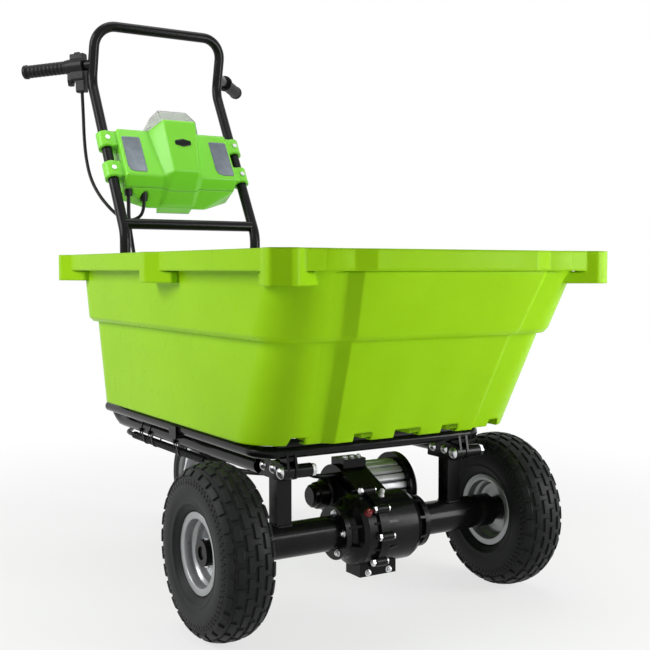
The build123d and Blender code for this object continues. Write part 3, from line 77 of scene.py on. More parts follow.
class Body(Enum):
    """Moving bodies that new pieces ride on."""

    CHASSIS = "chassis"
    TIPPER = "tipper"
    LEFT_WHEEL = "left_wheel"
    RIGHT_WHEEL = "right_wheel"


class Part(Enum):
    """What a selection in edit mode is made of."""

    POINTS = "VERT"
    FACES = "FACE"


# Places and directions


def mm(x: float, behind_axle: float, z: float) -> Point:
    """Place in metres from millimetres, measured back from the drive axle."""
    return (x * MM, AXLE_Y + behind_axle * MM, z * MM)


def spoke(turn: float) -> Vector:
    """Direction square to the axle, at an angle in degrees up from the back."""
    return Vector((0.0, math.cos(math.radians(turn)), math.sin(math.radians(turn))))


def on_circle(across: float, turn: float, radius: float, behind: float = 0.0,
              height: float = AXLE_Z / MM) -> Vector:
    """Place in metres on a circle round a line across the cart, at an angle in degrees up from the back."""
    return Vector(mm(across, behind, height)) + spoke(turn) * radius * MM


def seat(origin: Sequence[float], right: Vector, up: Vector) -> Matrix:
    """Matrix that carries X to right, Y to up and Z to the way that both leave free."""
    turn = Matrix((right, up, right.cross(up))).transposed()
    return Matrix.Translation(origin) @ turn.to_4x4()


def faces_up(_: Vector, normal: Vector) -> bool:
    """Whether a face looks up."""
    return normal.z > SQUARE_ON


def everything(_: Vector, __: Vector) -> bool:
    """Any place at all."""
    return True


# Finishes


class Bench:
    """Node tree under work."""

    def __init__(self, tree: bpy.types.NodeTree) -> None:
        """Start with an empty tree."""
        self.tree = tree
        self.tree.nodes.clear()

    def feed(self, node: bpy.types.Node, inputs: Inputs) -> None:
        """Give a node's sockets their values.

        Args:
            node: The node.
            inputs: Sockets by name or number, each a constant or an output to join to it.
        """
        for key, value in inputs.items():
            if isinstance(value, Socket):
                self.tree.links.new(value, node.inputs[key])
            else:
                node.inputs[key].default_value = value

    def node(self, kind: str, inputs: Optional[Inputs] = None, **settings: object) -> bpy.types.Node:
        """Add a node.

        Args:
            kind: Blender's node type.
            inputs: What its sockets are fed.
            settings: Its properties.

        Returns:
            The new node.
        """
        made = self.tree.nodes.new(kind)
        for key, value in settings.items():
            setattr(made, key, value)
        self.feed(made, inputs or {})
        return made

    def seen_directly(self) -> Socket:
        """Tell rays of the camera, of reflections and through glass from the rest.

        Returns:
            Output that is 1 for such rays.
        """
        path = self.node("ShaderNodeLightPath").outputs
        found = path["Is Camera Ray"]
        for kind in ("Is Glossy Ray", "Is Transmission Ray"):
            found = self.node("ShaderNodeMath", {0: found, 1: path[kind]}, operation="MAXIMUM").outputs[0]
        return found


class Grain(NamedTuple):
    """Noise on a piece's own coordinates: repeats per metre, octaves, weight of the finer ones, scale by axis."""

    scale: float
    detail: float
    rough: float = 0.5
    stretch: Optional[Point] = None


class Surface(Bench):
    """Nodes of a new material, with its shader and output."""

    def __init__(self, name: str) -> None:
        """Start with the shader alone.

        Args:
            name: Name of the material.
        """
        self.material = bpy.data.materials.new(name)
        self.material.use_nodes = True
        super().__init__(self.material.node_tree)
        self.shader = self.node("ShaderNodeBsdfPrincipled")
        self.output = self.node("ShaderNodeOutputMaterial", {"Surface": self.shader.outputs["BSDF"]})
        self.coords = self.node("ShaderNodeTexCoord").outputs["Object"]

    def noise(self, grain: Grain) -> Socket:
        """Lay a noise.

        Args:
            grain: Its measures.

        Returns:
            The noise value.
        """
        source = self.coords
        if grain.stretch:
            source = self.node("ShaderNodeMapping", {"Vector": source, "Scale": grain.stretch}).outputs["Vector"]
        return self.node("ShaderNodeTexNoise", {"Vector": source, "Scale": grain.scale, "Detail": grain.detail,
                                                "Roughness": grain.rough}).outputs["Fac"]

    def span(self, grain: Grain, low: float, high: float) -> Socket:
        """Value that goes from low to high with a noise."""
        return self.node("ShaderNodeMapRange", {"Value": self.noise(grain), "From Min": NOISE_LOW,
                                                "From Max": NOISE_HIGH, "To Min": low, "To Max": high}).outputs[0]

    def tint(self, grain: Grain, dark: Colour, light: Colour) -> Socket:
        """Lay a colour that goes from dark to light with a noise.

        Args:
            grain: The noise's measures.
            dark: Colour where it is low.
            light: Colour where it is high.

        Returns:
            The colour.
        """
        ramp = self.node("ShaderNodeValToRGB", {"Fac": self.noise(grain)})
        for stop, position, colour in zip(ramp.color_ramp.elements, (NOISE_LOW, NOISE_HIGH), (dark, light)):
            stop.position, stop.color = position, (*colour, 1)
        return ramp.outputs["Color"]

    def dress(self, **inputs: object) -> bpy.types.Material:
        """Feed the shader's sockets, named with underscores for spaces, and return the material."""
        self.feed(self.shader, {name.replace("_", " "): value for name, value in inputs.items()})
        return self.material


@dataclass(frozen=True)
class Finish:
    """Surface that noise tints (patch), roughens (worn, by wear) and gives relief (grain); lengths are in metres."""

    name: str
    dark: Colour
    light: Colour
    roughness: float
    depth: float
    patch: Grain
    worn: Grain
    wear: tuple[float, float]
    grain: Optional[Grain] = None
    relief: float = 0.6
    soft_edge: float = 0.0
    gloss: float = 0.5
    metallic: float = 0.0
    coat: float = 0.0
    clear: float = 0.0
    index: float = 1.5

    def normal(self, surface: Surface) -> dict[str, object]:
        """Lay the relief, over rounded edges where the finish has them.

        Args:
            surface: Where it is laid.

        Returns:
            What the shader's normal is fed, or nothing where the surface is smooth.
        """
        if self.grain is None:
            return {}
        bump: Inputs = {"Height": surface.noise(self.grain), "Distance": self.depth, "Strength": self.relief}
        if self.soft_edge:
            rounded = surface.node("ShaderNodeBevel", {"Radius": self.soft_edge}, samples=6)
            bump["Normal"] = rounded.outputs["Normal"]
        return {"Normal": surface.node("ShaderNodeBump", bump).outputs["Normal"]}

    def make(self) -> bpy.types.Material:
        """Lay the material's nodes.

        Returns:
            The material.
        """
        surface = Surface(self.name)
        smoother, rougher = (self.roughness + change for change in self.wear)
        return surface.dress(Base_Color=surface.tint(self.patch, self.dark, self.light),
                             Roughness=surface.span(self.worn, smoother, rougher), **self.normal(surface),
                             Specular_IOR_Level=self.gloss, Metallic=self.metallic, Coat_Weight=self.coat,
                             Coat_Roughness=0.08, Transmission_Weight=self.clear, IOR=self.index)


@dataclass(frozen=True)
class Moulding(Finish):
    """Moulded plastic with softly rounded edges, a fine grain, faint flow marks and light scuffs."""

    depth: float = 0.00004
    patch: Grain = Grain(7.0, 4.0, 0.55)
    worn: Grain = Grain(55.0, 5.0, 0.7)
    wear: tuple[float, float] = (-0.05, 0.06)
    grain: Grain = Grain(1400.0, 2.0)
    soft_edge: float = 0.0012


@dataclass(frozen=True)
class PowderCoat(Finish):
    """Stoved powder paint with a faint orange peel."""

    depth: float = 0.00006
    patch: Grain = Grain(26.0, 4.0, 0.6)
    worn: Grain = Grain(26.0, 4.0, 0.6)
    wear: tuple[float, float] = (-0.04, 0.06)
    grain: Grain = Grain(420.0, 2.0, 0.4)
    relief: float = 0.7
    gloss: float = 0.4


@dataclass(frozen=True)
class BareMetal(Finish):
    """Plated or bare metal with a fine drawn grain."""

    depth: float = 0.00002
    patch: Grain = Grain(60.0, 4.0, 0.6)
    worn: Grain = Grain(300.0, 3.0)
    wear: tuple[float, float] = (-0.06, 0.1)
    grain: Grain = Grain(300.0, 3.0)
    relief: float = 0.5
    metallic: float = 1.0


@dataclass(frozen=True)
class Rubber(Finish):
    """Dull black rubber with a light bloom on it."""

    depth: float = 0.00008
    patch: Grain = Grain(38.0, 5.0, 0.65)
    worn: Grain = Grain(38.0, 5.0, 0.65)
    wear: tuple[float, float] = (-0.06, 0.06)
    grain: Grain = Grain(900.0, 3.0)
    gloss: float = 0.25


@dataclass(frozen=True)
class ClearPlastic(Finish):
    """Clear smooth plastic with a grey smoke and fine handling marks."""

    depth: float = 0.0
    patch: Grain = Grain(120.0, 5.0, 0.7)
    worn: Grain = Grain(120.0, 5.0, 0.7)
    wear: tuple[float, float] = (0.0, 0.12)
    clear: float = 0.8
    index: float = 1.46


TURNED_GRAIN = Grain(300.0, 3.0, 0.5, (8.0, 1.0, 1.0))
BRUSHED_GRAIN = Grain(300.0, 3.0, 0.5, (1.0, 12.0, 12.0))
BIN_PLASTIC = Moulding("bin_lime_moulding", (0.315, 0.63, 0.004), (0.345, 0.675, 0.007), 0.30, 0.00005,
                       grain=Grain(1100.0, 2.0), soft_edge=0.006, gloss=0.06)
BOX_PLASTIC = Moulding("box_green_moulding", (0.252, 0.81, 0.047), (0.272, 0.85, 0.057), 0.22, 0.00002,
                       grain=Grain(1500.0, 2.0), soft_edge=0.007, gloss=0.3)
FRAME_PAINT = PowderCoat("frame_black_powder", (0.0055, 0.0055, 0.0060), (0.0086, 0.0086, 0.0092), 0.18, gloss=0.14)
CAST_PAINT = PowderCoat("casting_black_paint", (0.0045, 0.0045, 0.0050), (0.0074, 0.0074, 0.0080), 0.20, 0.00012,
                        gloss=0.15)
ZINC_PLATE = BareMetal("bright_zinc", (0.60, 0.60, 0.62), (0.76, 0.76, 0.78), 0.26)
FORK_ZINC = BareMetal("fork_zinc", (0.62, 0.62, 0.65), (0.74, 0.75, 0.78), 0.34)
RIM_PAINT = PowderCoat("rim_silver_paint", (0.30, 0.31, 0.315), (0.362, 0.374, 0.380), 0.32, 0.00004, metallic=0.6,
                       coat=0.1)
# Painted light: the fins' aluminium is made very light to make up for the bin's shadow over the motor.
FIN_LIT_METAL = BareMetal("motor_fin_painted_light", (0.84, 0.84, 0.87), (0.93, 0.93, 0.95), 0.36, worn=TURNED_GRAIN,
                        grain=TURNED_GRAIN, metallic=0.2)
# Painted shade: the can is made dark so the gaps between the bright fins read as shade; fins and can are one
# casting.
CAN_SHADE_METAL = BareMetal("motor_can_painted_shade", (0.030, 0.030, 0.033), (0.045, 0.045, 0.048), 0.45)
PLATE_METAL = BareMetal("plate_grey_metal", (0.115, 0.13, 0.15), (0.15, 0.17, 0.19), 0.38, worn=BRUSHED_GRAIN,
                        grain=BRUSHED_GRAIN)
TYRE_RUBBER = Rubber("tyre_rubber", (0.0090, 0.0095, 0.0105), (0.0170, 0.0175, 0.0185), 0.48, gloss=0.14)
GRIP_RUBBER = Rubber("grip_rubber", (0.006, 0.006, 0.0065), (0.010, 0.010, 0.0105), 0.42, 0.00012, gloss=0.18)
CABLE_RUBBER = Rubber("cable_rubber", (0.006, 0.006, 0.0065), (0.009, 0.009, 0.0095), 0.38, 0.00003, gloss=0.18)
BLACK_MOULDING = Moulding("black_moulding", (0.006, 0.006, 0.0065), (0.008, 0.008, 0.009), 0.36, 0.00005,
                          grain=Grain(1200.0, 2.0), gloss=0.2)
GLOSS_BLACK = Moulding("gloss_black_moulding", (0.004, 0.004, 0.0045), (0.006, 0.006, 0.0065), 0.16, 0.00001,
                       grain=Grain(1500.0, 2.0), gloss=0.2)
GREY_MOULDING = Moulding("grey_moulding", (0.16, 0.16, 0.165), (0.2, 0.2, 0.205), 0.42, grain=Grain(900.0, 2.0))
PALE_MOULDING = Moulding("pale_grey_moulding", (0.52, 0.55, 0.50), (0.60, 0.62, 0.57), 0.42,
                         grain=Grain(900.0, 2.0))
PALE_NYLON = Moulding("pale_nylon", (0.66, 0.66, 0.63), (0.74, 0.74, 0.71), 0.38)
RED_MOULDING = Moulding("red_moulding", (0.20, 0.008, 0.010), (0.26, 0.012, 0.013), 0.32)
SMOKE_COVER = ClearPlastic("clear_smoke_cover", (0.74, 0.77, 0.72), (0.7844, 0.8162, 0.7632), 0.10)

NODE_FINISHES: dict[Finish, tuple[str, ...]] = {
    BIN_PLASTIC: ("bin",),
    BOX_PLASTIC: ("box_front", "box_rear"),
    FRAME_PAINT: ("bed_frame", "bed_rear_tube", "bed_bars", "hinge_ears", "posts", "hinge_brackets", "rails",
                  "cradles", "cross_members", "caster_plate", "handle_frame", "handle_crossbar", "handle_spacers",
                  "grip_bars", "axle_tubes", "tip_latch", "latch_bracket", "hub_left", "hub_right",
                  "half_shaft_left", "half_shaft_right"),
    CAST_PAINT: ("gearbox_left", "gearbox_right", "motor_bell", "motor_brake"),
    ZINC_PLATE: ("bin_bolts", "hinge_pins", "frame_bolts", "caster_bolts", "caster_kingpin", "caster_axle",
                 "hub_pin_left", "hub_pin_right", "axle_bearings", "gearbox_bolts", "clip_screws", "latch_pin"),
    FORK_ZINC: ("caster_fork",),
    RIM_PAINT: ("rim_left", "rim_right"),
    # The dark can is painted shade between the fins.
    CAN_SHADE_METAL: ("motor_can",),
    TYRE_RUBBER: ("tyre_left", "tyre_right", "caster_tyre"),
    GREY_MOULDING: ("caster_rim",),
    PALE_MOULDING: ("battery_pack",),
    GRIP_RUBBER: ("grip_left", "grip_right", "cradle_pads"),
    CABLE_RUBBER: ("motor_cable", "throttle_cable"),
    BLACK_MOULDING: ("throttle_housing", "throttle_lever", "cable_glands", "motor_conduit", "direction_rocker"),
    SMOKE_COVER: ("battery_cover",),
}


class Paintbox:
    """Makes each finish once and puts it on pieces."""

    def __init__(self) -> None:
        """Start with no finish made."""
        self.made: dict[Finish, bpy.types.Material] = {}

    def put(self, piece: bpy.types.Object, finish: Finish) -> None:
        """Give a piece one finish all over.

        Args:
            piece: Piece to paint.
            finish: Its finish, made the first time it is used.
        """
        if finish not in self.made:
            self.made[finish] = finish.make()
        piece.data.materials.clear()
        piece.data.materials.append(self.made[finish])

    def dress_nodes(self) -> None:
        """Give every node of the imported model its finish."""
        for finish, names in NODE_FINISHES.items():
            for name in names:
                self.put(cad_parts[name], finish)
        bare = set(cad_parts) - {name for names in NODE_FINISHES.values() for name in names}
        if bare:
            raise ValueError(f"nodes with no finish: {sorted(bare)}")


# Modelling by hand


class Ease(NamedTuple):
    """Rounding of edges: width in millimetres, faces across it, and the angle in degrees that gets it."""

    width: float
    steps: int = 2
    above: float = 30.0


class Hand:
    """One mesh under work with Blender's operators, as by hand."""

    def __init__(self) -> None:
        """Take up the active object."""
        self.piece = bpy.context.active_object

    @classmethod
    def start(cls, name: str, add: Callable[..., object], **settings: object) -> "Hand":
        """Add a primitive, open it in edit mode and select all of it.

        Args:
            name: Name of the piece.
            add: Operator that adds the primitive.
            settings: The operator's own settings.

        Returns:
            The piece.
        """
        cls.lay_down()
        add(**settings)
        hand = cls()
        hand.piece.name = hand.piece.data.name = name
        bpy.ops.object.transform_apply(location=True, rotation=True, scale=True)
        hand.open()
        return hand

    @staticmethod
    def lay_down() -> None:
        """Leave edit mode and deselect everything."""
        if bpy.context.mode != "OBJECT":
            bpy.ops.object.mode_set(mode="OBJECT")
        bpy.ops.object.select_all(action="DESELECT")

    @classmethod
    def line(cls, name: str, points: Sequence[Point]) -> "Hand":
        """Draw a line by extruding one point to the next.

        Args:
            name: Name of the piece.
            points: Points of the line; the last meets the first where it is a loop.

        Returns:
            The line, with all of it selected.
        """
        hand = cls.start(name, bpy.ops.mesh.primitive_plane_add, size=MM)
        bpy.ops.mesh.select_mode(type=Part.POINTS.value)
        bpy.ops.mesh.merge(type="CENTER")
        hand.move(points[0])
        for here, there in zip(points, points[1:]):
            hand.extrude(tuple(b - a for a, b in zip(here, there)))
        bpy.ops.mesh.select_all(action="SELECT")
        bpy.ops.mesh.remove_doubles(threshold=0.01 * MM)
        return hand

    def take(self) -> None:
        """Go to object mode with this piece alone selected and active."""
        Hand.lay_down()
        self.piece.select_set(True)
        bpy.context.view_layer.objects.active = self.piece

    def open(self) -> None:
        """Open the piece in edit mode and select all of it."""
        self.take()
        bpy.ops.object.mode_set(mode="EDIT")
        bpy.ops.mesh.select_all(action="SELECT")

    def pick(self, kind: Part, test: Test) -> None:
        """Select points or faces by their place and normal.

        Args:
            kind: What is selected.
            test: Says of a place and a normal if they are wanted.
        """
        bpy.ops.mesh.select_mode(type=kind.value)
        bpy.ops.mesh.select_all(action="DESELECT")
        mesh = bmesh.from_edit_mesh(self.piece.data)
        if kind is Part.POINTS:
            wanted = [point for point in mesh.verts if test(point.co, point.normal)]
        else:
            wanted = [face for face in mesh.faces if test(face.calc_center_median(), face.normal)]
        if not wanted:
            raise ValueError(f"nothing to pick on {self.piece.name}")
        for item in wanted:
            item.select_set(True)
        mesh.select_flush_mode()
        bmesh.update_edit_mesh(self.piece.data)

    def move(self, by: Point) -> None:
        """Move what is selected."""
        bpy.ops.transform.translate(value=by)

    def size(self, by: Point, about: Point = ORIGIN) -> None:
        """Scale what is selected about a point."""
        bpy.ops.transform.resize(value=by, center_override=about)

    def extrude(self, by: Point) -> None:
        """Extrude what is selected."""
        bpy.ops.mesh.extrude_region_move(TRANSFORM_OT_translate={"value": by})

    def terrace(self, steps: Profile, each: bool = False) -> None:
        """Border the selected faces step by step, by a width and a rise of what is inside in millimetres."""
        for width, rise in steps:
            bpy.ops.mesh.inset(thickness=width * MM, depth=rise * MM, use_individual=each)

    def round_points(self, width: float, steps: int) -> None:
        """Round the selected corners of a flat face."""
        bpy.ops.mesh.bevel(offset=width, segments=steps, affect="VERTICES")

    def raise_top(self, height: float) -> None:
        """Make a flat face into a slab and pick its top.

        Args:
            height: Height of the slab.
        """
        self.pick(Part.FACES, everything)
        self.extrude((0.0, 0.0, height))
        self.close()
        self.pick(Part.FACES, faces_up)

    def spin(self, steps: int, about: Point = ORIGIN) -> None:
        """Turn what is selected once round a line along X, and close it."""
        bpy.ops.mesh.spin(steps=steps, angle=math.tau, center=about, axis=tuple(ALONG))
        self.close()

    def close(self) -> None:
        """Merge doubles and point all faces outwards."""
        bpy.ops.mesh.select_all(action="SELECT")
        bpy.ops.mesh.remove_doubles(threshold=0.02 * MM)
        bpy.ops.mesh.normals_make_consistent(inside=False)

    def modify(self, kind: str, **settings: object) -> None:
        """Add a modifier and apply it.

        Args:
            kind: Blender's modifier type.
            settings: Its properties.
        """
        self.take()
        made = self.piece.modifiers.new(kind.lower(), kind)
        for key, value in settings.items():
            setattr(made, key, value)
        bpy.ops.object.modifier_apply(modifier=made.name)

    def ease_edges(self, ease: Ease) -> None:
        """Round every edge that is sharp enough."""
        self.modify("BEVEL", width=ease.width * MM, segments=ease.steps, limit_method="ANGLE",
                    angle_limit=math.radians(ease.above))

    def place(self, where: Matrix) -> None:
        """Carry the mesh to its seat, leaving the object at the origin.

        Args:
            where: The seat.
        """
        self.take()
        self.piece.matrix_world = where
        bpy.ops.object.transform_apply(location=True, rotation=True, scale=True)

    def spread(self, seats: Sequence[Matrix], endings: Optional[Sequence[str]] = None) -> list["Hand"]:
        """Copy the piece, each copy with its own mesh, until every seat has one.

        Args:
            seats: Where the pieces go; the first is for this one.
            endings: What their names end in, or numbers from 1 where none are given.

        Returns:
            The pieces, in the order of their seats.
        """
        hands, stem = [self], self.piece.name
        for _ in seats[1:]:
            self.take()
            bpy.ops.object.duplicate(linked=False)
            hands.append(Hand())
        for number, (hand, where) in enumerate(zip(hands, seats)):
            hand.place(where)
            hand.piece.name = f"{stem}_{endings[number] if endings else number + 1}"
        return hands

    def join(self, others: Sequence["Hand"], name: str) -> None:
        """Make other pieces part of this one.

        Args:
            others: The other pieces.
            name: Name of the joined piece.
        """
        self.take()
        for other in others:
            other.piece.select_set(True)
        bpy.ops.object.join()
        self.piece.name = name


@dataclass
class Assembly:
    """Pieces that belong together, with the paintbox that their finishes come from."""

    paint: Paintbox

    def finish(self, hand: Hand, finish: Finish, body: Body, slot: Slot, replaced: Optional[str] = None,
               smooth_below: float = 35.0) -> None:
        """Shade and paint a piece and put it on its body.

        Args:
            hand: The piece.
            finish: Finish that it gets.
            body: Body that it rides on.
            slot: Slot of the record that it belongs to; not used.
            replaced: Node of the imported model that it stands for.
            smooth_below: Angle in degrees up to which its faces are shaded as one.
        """
        hand.take()
        bpy.ops.object.shade_smooth_by_angle(angle=math.radians(smooth_below))
        self.paint.put(hand.piece, finish)
        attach(hand.piece, body.value)
        if replaced:
            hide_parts(replaced)
        LOG.info("made %s, %d faces", hand.piece.name, len(hand.piece.data.polygons))


# Wheels


@dataclass
class DriveWheel(Assembly):
    """Tyre with rows of tread blocks, and the dished rim in it; sections are distances outward and radii."""

    name: str
    body: Body
    outward: int
    middle: float = 0.2685
    half_width: float = 39.5
    crown_radius: float = 126.7
    side_radius: float = 94.0
    squareness: float = 2.4
    steps: int = 216
    steps_per_block: int = 8
    steps_per_gap: int = 2
    steps_per_dimple: int = 3
    tread_edges: tuple[float, ...] = (2.2, 6.8, 11.4, 15.8, 20.2, 24.6, 28.6, 31.0, 33.3, 35.4, 36.8, 38.2, 39.2)
    bead: Profile = ((39.5, 94.0), (39.4, 88.0), (38.7, 82.0), (37.3, 76.2), (35.2, 71.0), (32.6, 66.6),
                     (30.4, 63.4), (28.6, 61.6), (26.8, 60.9), (26.7, 56.0), (24.0, 54.6), (10.0, 54.4))
    block_rows: tuple[tuple[float, float, int], ...] = ((2.2, 11.4, 0), (15.8, 24.6, 4), (28.6, 35.4, 0))
    block_steps: Profile = ((0.5, 3.1),)
    dimple_rows: Profile = ((36.8, 38.2), (38.2, 39.2))
    dimple_steps: Profile = ((0.7, -1.4),)
    ring: tuple[float, float] = (71.0, 76.2)
    ring_steps: Profile = ((0.8, 0.9),)
    tyre_ease: Ease = Ease(0.45, 1, 38.0)
    dish: Profile = ((0.0, 19.55), (0.0, 34.0), (0.5, 38.5), (2.0, 41.8), (5.2, 43.4), (10.0, 43.6), (13.0, 45.4),
                     (15.0, 48.9), (17.5, 49.5), (27.4, 49.5), (28.6, 50.2), (29.3, 52.2), (29.5, 55.0),
                     (29.5, 60.0), (28.9, 60.5), (27.0, 60.5), (27.0, 52.0), (14.0, 52.0), (10.0, 46.0))
    web_thick: float = 3.0
    web_reach: float = 10.0
    rim_steps: int = 96
    rim_ease: Ease = Ease(0.5, 2, 40.0)

    def at(self, across: float, radius: float) -> Point:
        """Point over the axle, from its distance outward of the wheel's middle and its radius in millimetres."""
        return (self.outward * (self.middle + across * MM), AXLE_Y, AXLE_Z + radius * MM)

    def crown(self, across: float) -> float:
        """Radius of the tyre's outer side above its widest line."""
        share = (across / self.half_width) ** self.squareness
        return self.side_radius + (self.crown_radius - self.side_radius) * (1 - share) ** (1 / self.squareness)

    def place_on(self, spot: Vector) -> tuple[float, float, int]:
        """Find where on the wheel a place is.

        Args:
            spot: The place.

        Returns:
            Its distance outward of the middle and its radius, in millimetres, and its step round the axle.
        """
        across = (self.outward * spot.x - self.middle) / MM
        back, up = spot.y - AXLE_Y, spot.z - AXLE_Z
        turn = math.atan2(back, up) % math.tau
        return across, math.hypot(back, up) / MM, int(turn / math.tau * self.steps)

    def in_block(self, spot: Vector, _: Vector) -> bool:
        """Tell if a place is on a tread block.

        Args:
            spot: The place.

        Returns:
            Whether it is; blocks on the inner half are half a block further round.
        """
        across, radius, step = self.place_on(spot)
        shift = self.steps_per_block // 2 if across < 0 else 0
        return radius > self.side_radius and any(
            low < abs(across) < high and (step + phase + shift) % self.steps_per_block >= self.steps_per_gap
            for low, high, phase in self.block_rows)

    def in_dimple(self, spot: Vector, _: Vector) -> bool:
        """Whether a place is in one of the shoulder's dimples."""
        across, radius, step = self.place_on(spot)
        return radius > self.side_radius and any(
            low < abs(across) < high and (step + row) % self.steps_per_dimple == 0
            for row, (low, high) in enumerate(self.dimple_rows))

    def in_ring(self, spot: Vector, _: Vector) -> bool:
        """Whether a place is on the raised ring of the side wall."""
        return self.ring[0] < self.place_on(spot)[1] < self.ring[1]

    def tyre(self) -> None:
        """Spin the tyre's section, press in its dimples and raise its blocks and rings."""
        half = [(edge, self.crown(edge)) for edge in self.tread_edges] + list(self.bead)
        loop = half + [(-across, radius) for across, radius in reversed(half)]
        hand = Hand.line(f"tread_tyre_{self.name}", [self.at(*point) for point in loop + loop[:1]])
        hand.spin(self.steps, self.at(0.0, 0.0))
        for test, steps, each in ((self.in_dimple, self.dimple_steps, True),
                                  (self.in_block, self.block_steps, False),
                                  (self.in_ring, self.ring_steps, False)):
            hand.pick(Part.FACES, test)
            hand.terrace(steps, each)
        hand.ease_edges(self.tyre_ease)
        self.finish(hand, TYRE_RUBBER, self.body, Slot.TYRE, f"tyre_{self.name}", smooth_below=30.0)

    def rim(self) -> None:
        """Spin the rim's sheet, thicker at its web."""
        back = [(-across - (self.web_thick if across < self.web_reach else 0.0), radius)
                for across, radius in reversed(self.dish)]
        loop = (*self.dish, *back, self.dish[0])
        hand = Hand.line(f"dished_rim_{self.name}", [self.at(*point) for point in loop])
        hand.spin(self.rim_steps, self.at(0.0, 0.0))
        hand.ease_edges(self.rim_ease)
        self.finish(hand, RIM_PAINT, self.body, Slot.RIM, f"rim_{self.name}", smooth_below=32.0)

    def build(self) -> None:
        """Make the tyre and the rim."""
        self.tyre()
        self.rim()


# Bin and bed


class Row(NamedTuple):
    """One level of the raised front, in millimetres.

    It holds the level's height, the wall's distance behind the axle there, and the half widths of the skin, of the
    flank's foot and of its crest.
    """

    height: float
    behind: float
    edge: float
    foot: float
    crest: float


@dataclass
class FrontRelief(Assembly):
    """Raised middle of the bin's front wall and of the lip over it, with a hem that runs into the wall."""

    wall_rows: tuple[Row, ...] = (
        Row(289.0, -85.2, 157.0, 140.0, 126.5), Row(301.0, -90.7, 158.5, 141.0, 127.5),
        Row(441.3, -154.4, 179.0, 156.0, 141.5), Row(441.6, -163.8, 179.0, 158.0, 143.0),
        Row(448.5, -171.0, 180.0, 159.5, 144.5), Row(536.8, -212.7, 193.0, 175.5, 159.0))
    lip_rows: tuple[Row, ...] = (
        Row(537.6, -222.0, 212.0, 172.0, 141.0), Row(567.3, -222.0, 212.0, 172.0, 141.0))
    notch_edges: Point = (23.0, 65.0, 95.0)
    wall_raise: float = 13.5
    wall_return: float = 14.0
    lip_raise: float = 7.0
    lip_return: float = 13.0
    skin: float = 0.3
    hem: float = 12.0
    hem_depth: float = 0.7
    thick: float = 2.6
    ease: Ease = Ease(2.6, 4, 12.0)
    near: float = 0.5
    grid_height: float = 5.0
    grid_reach: float = 0.01

    def columns(self, row: Row, rise: float) -> list[tuple[float, float]]:
        """Lay out one row's points.

        Args:
            row: The row.
            rise: How far the middle stands out of the wall.

        Returns:
            Their distances across and ahead of the wall, from left to right.
        """
        right = [(across, rise) for across in (*self.notch_edges, row.crest)]
        right += [(row.foot, self.skin), (row.edge, self.skin), (row.edge + self.hem, -self.hem_depth)]
        return [(-across, ahead) for across, ahead in reversed(right)] + right

    def sheet(self, name: str, rows: Sequence[Row], rise: float) -> Hand:
        """Lay a grid well above the cart and pull each of its points to its place.

        Args:
            name: Name of the piece.
            rows: Rows from below upwards.
            rise: How far the middle stands out of the wall.

        Returns:
            The sheet, facing the front.
        """
        wide, tall = len(self.columns(rows[0], rise)) - 1, len(rows) - 1
        hand = Hand.start(name, bpy.ops.mesh.primitive_grid_add, x_subdivisions=wide, y_subdivisions=tall, size=1.0,
                          location=(0.0, 0.0, self.grid_height))
        for number, row in enumerate(rows):
            for column, (across, ahead) in enumerate(self.columns(row, rise)):
                start = Vector((column / wide - 0.5, number / tall - 0.5, self.grid_height))
                hand.pick(Part.POINTS, lambda spot, _: (spot - start).length < self.grid_reach)
                hand.move(tuple(Vector(mm(across, row.behind - ahead, row.height)) - start))
        return hand

    def wall(self) -> Hand:
        """Make the wall's sheet, cut its notches and turn its lower edge under.

        Returns:
            The sheet.
        """
        hand = self.sheet("front_panel", self.wall_rows, self.wall_raise)
        middle, inner, outer = (edge * MM for edge in self.notch_edges)
        foot, top = (row.height * MM for row in self.wall_rows[:2])
        hand.pick(Part.FACES, lambda spot, _: spot.z < top and
                  (abs(spot.x) < middle or inner < abs(spot.x) < outer))
        bpy.ops.mesh.delete(type="FACE")
        hand.pick(Part.POINTS, lambda spot, _: spot.z < foot + self.near * MM)
        hand.extrude((0.0, self.wall_return * MM, 0.0))
        return hand

    def lip(self) -> Hand:
        """Make the lip's sheet and turn its top and underside back.

        Returns:
            The sheet.
        """
        hand = self.sheet("front_lip", self.lip_rows, self.lip_raise)
        for row in self.lip_rows:
            hand.pick(Part.POINTS, lambda spot, _: abs(spot.z - row.height * MM) < self.near * MM and
                      spot.y < AXLE_Y + (row.behind + 1.0) * MM)
            hand.extrude((0.0, self.lip_return * MM, 0.0))
        return hand

    def build(self) -> None:
        """Make both sheets, thicken them inwards and ease their flanks."""
        for make in (self.wall, self.lip):
            hand = make()
            hand.modify("SOLIDIFY", thickness=self.thick * MM, offset=-1.0)
            hand.ease_edges(self.ease)
            self.finish(hand, BIN_PLASTIC, Body.TIPPER, Slot.BIN)


@dataclass
class BedShadeStrip(Assembly):
    """Black rubber strip on the bed's front tube, under the bin's floor; a guessed pad that fills the floor's
    hollows with painted shade where the cart shows only shadow.
    """

    half_length: float = 186.0
    behind: float = -30.0
    width: float = 15.0
    low: float = 278.5
    high: float = 288.1
    top_share: float = 0.7
    groove_steps: Profile = ((2.0, 0.0), (1.2, -1.2))
    ease: Ease = Ease(0.4)

    def build(self) -> None:
        """Draw the strip out, narrow its top and press a groove along it."""
        middle = mm(0.0, self.behind, (self.low + self.high) / 2)
        hand = Hand.start("bed_shade_strip", bpy.ops.mesh.primitive_cube_add, size=MM, location=middle)
        hand.size((2 * self.half_length, self.width, self.high - self.low), middle)
        hand.pick(Part.FACES, faces_up)
        hand.size((1.0, self.top_share, 1.0), mm(0.0, self.behind, self.high))
        hand.terrace(self.groove_steps)
        hand.ease_edges(self.ease)
        # The black rubber stands in as painted shade in the floor's hollows.
        self.finish(hand, GRIP_RUBBER, Body.TIPPER, Slot.RUBBER)


# Small pieces on the chassis


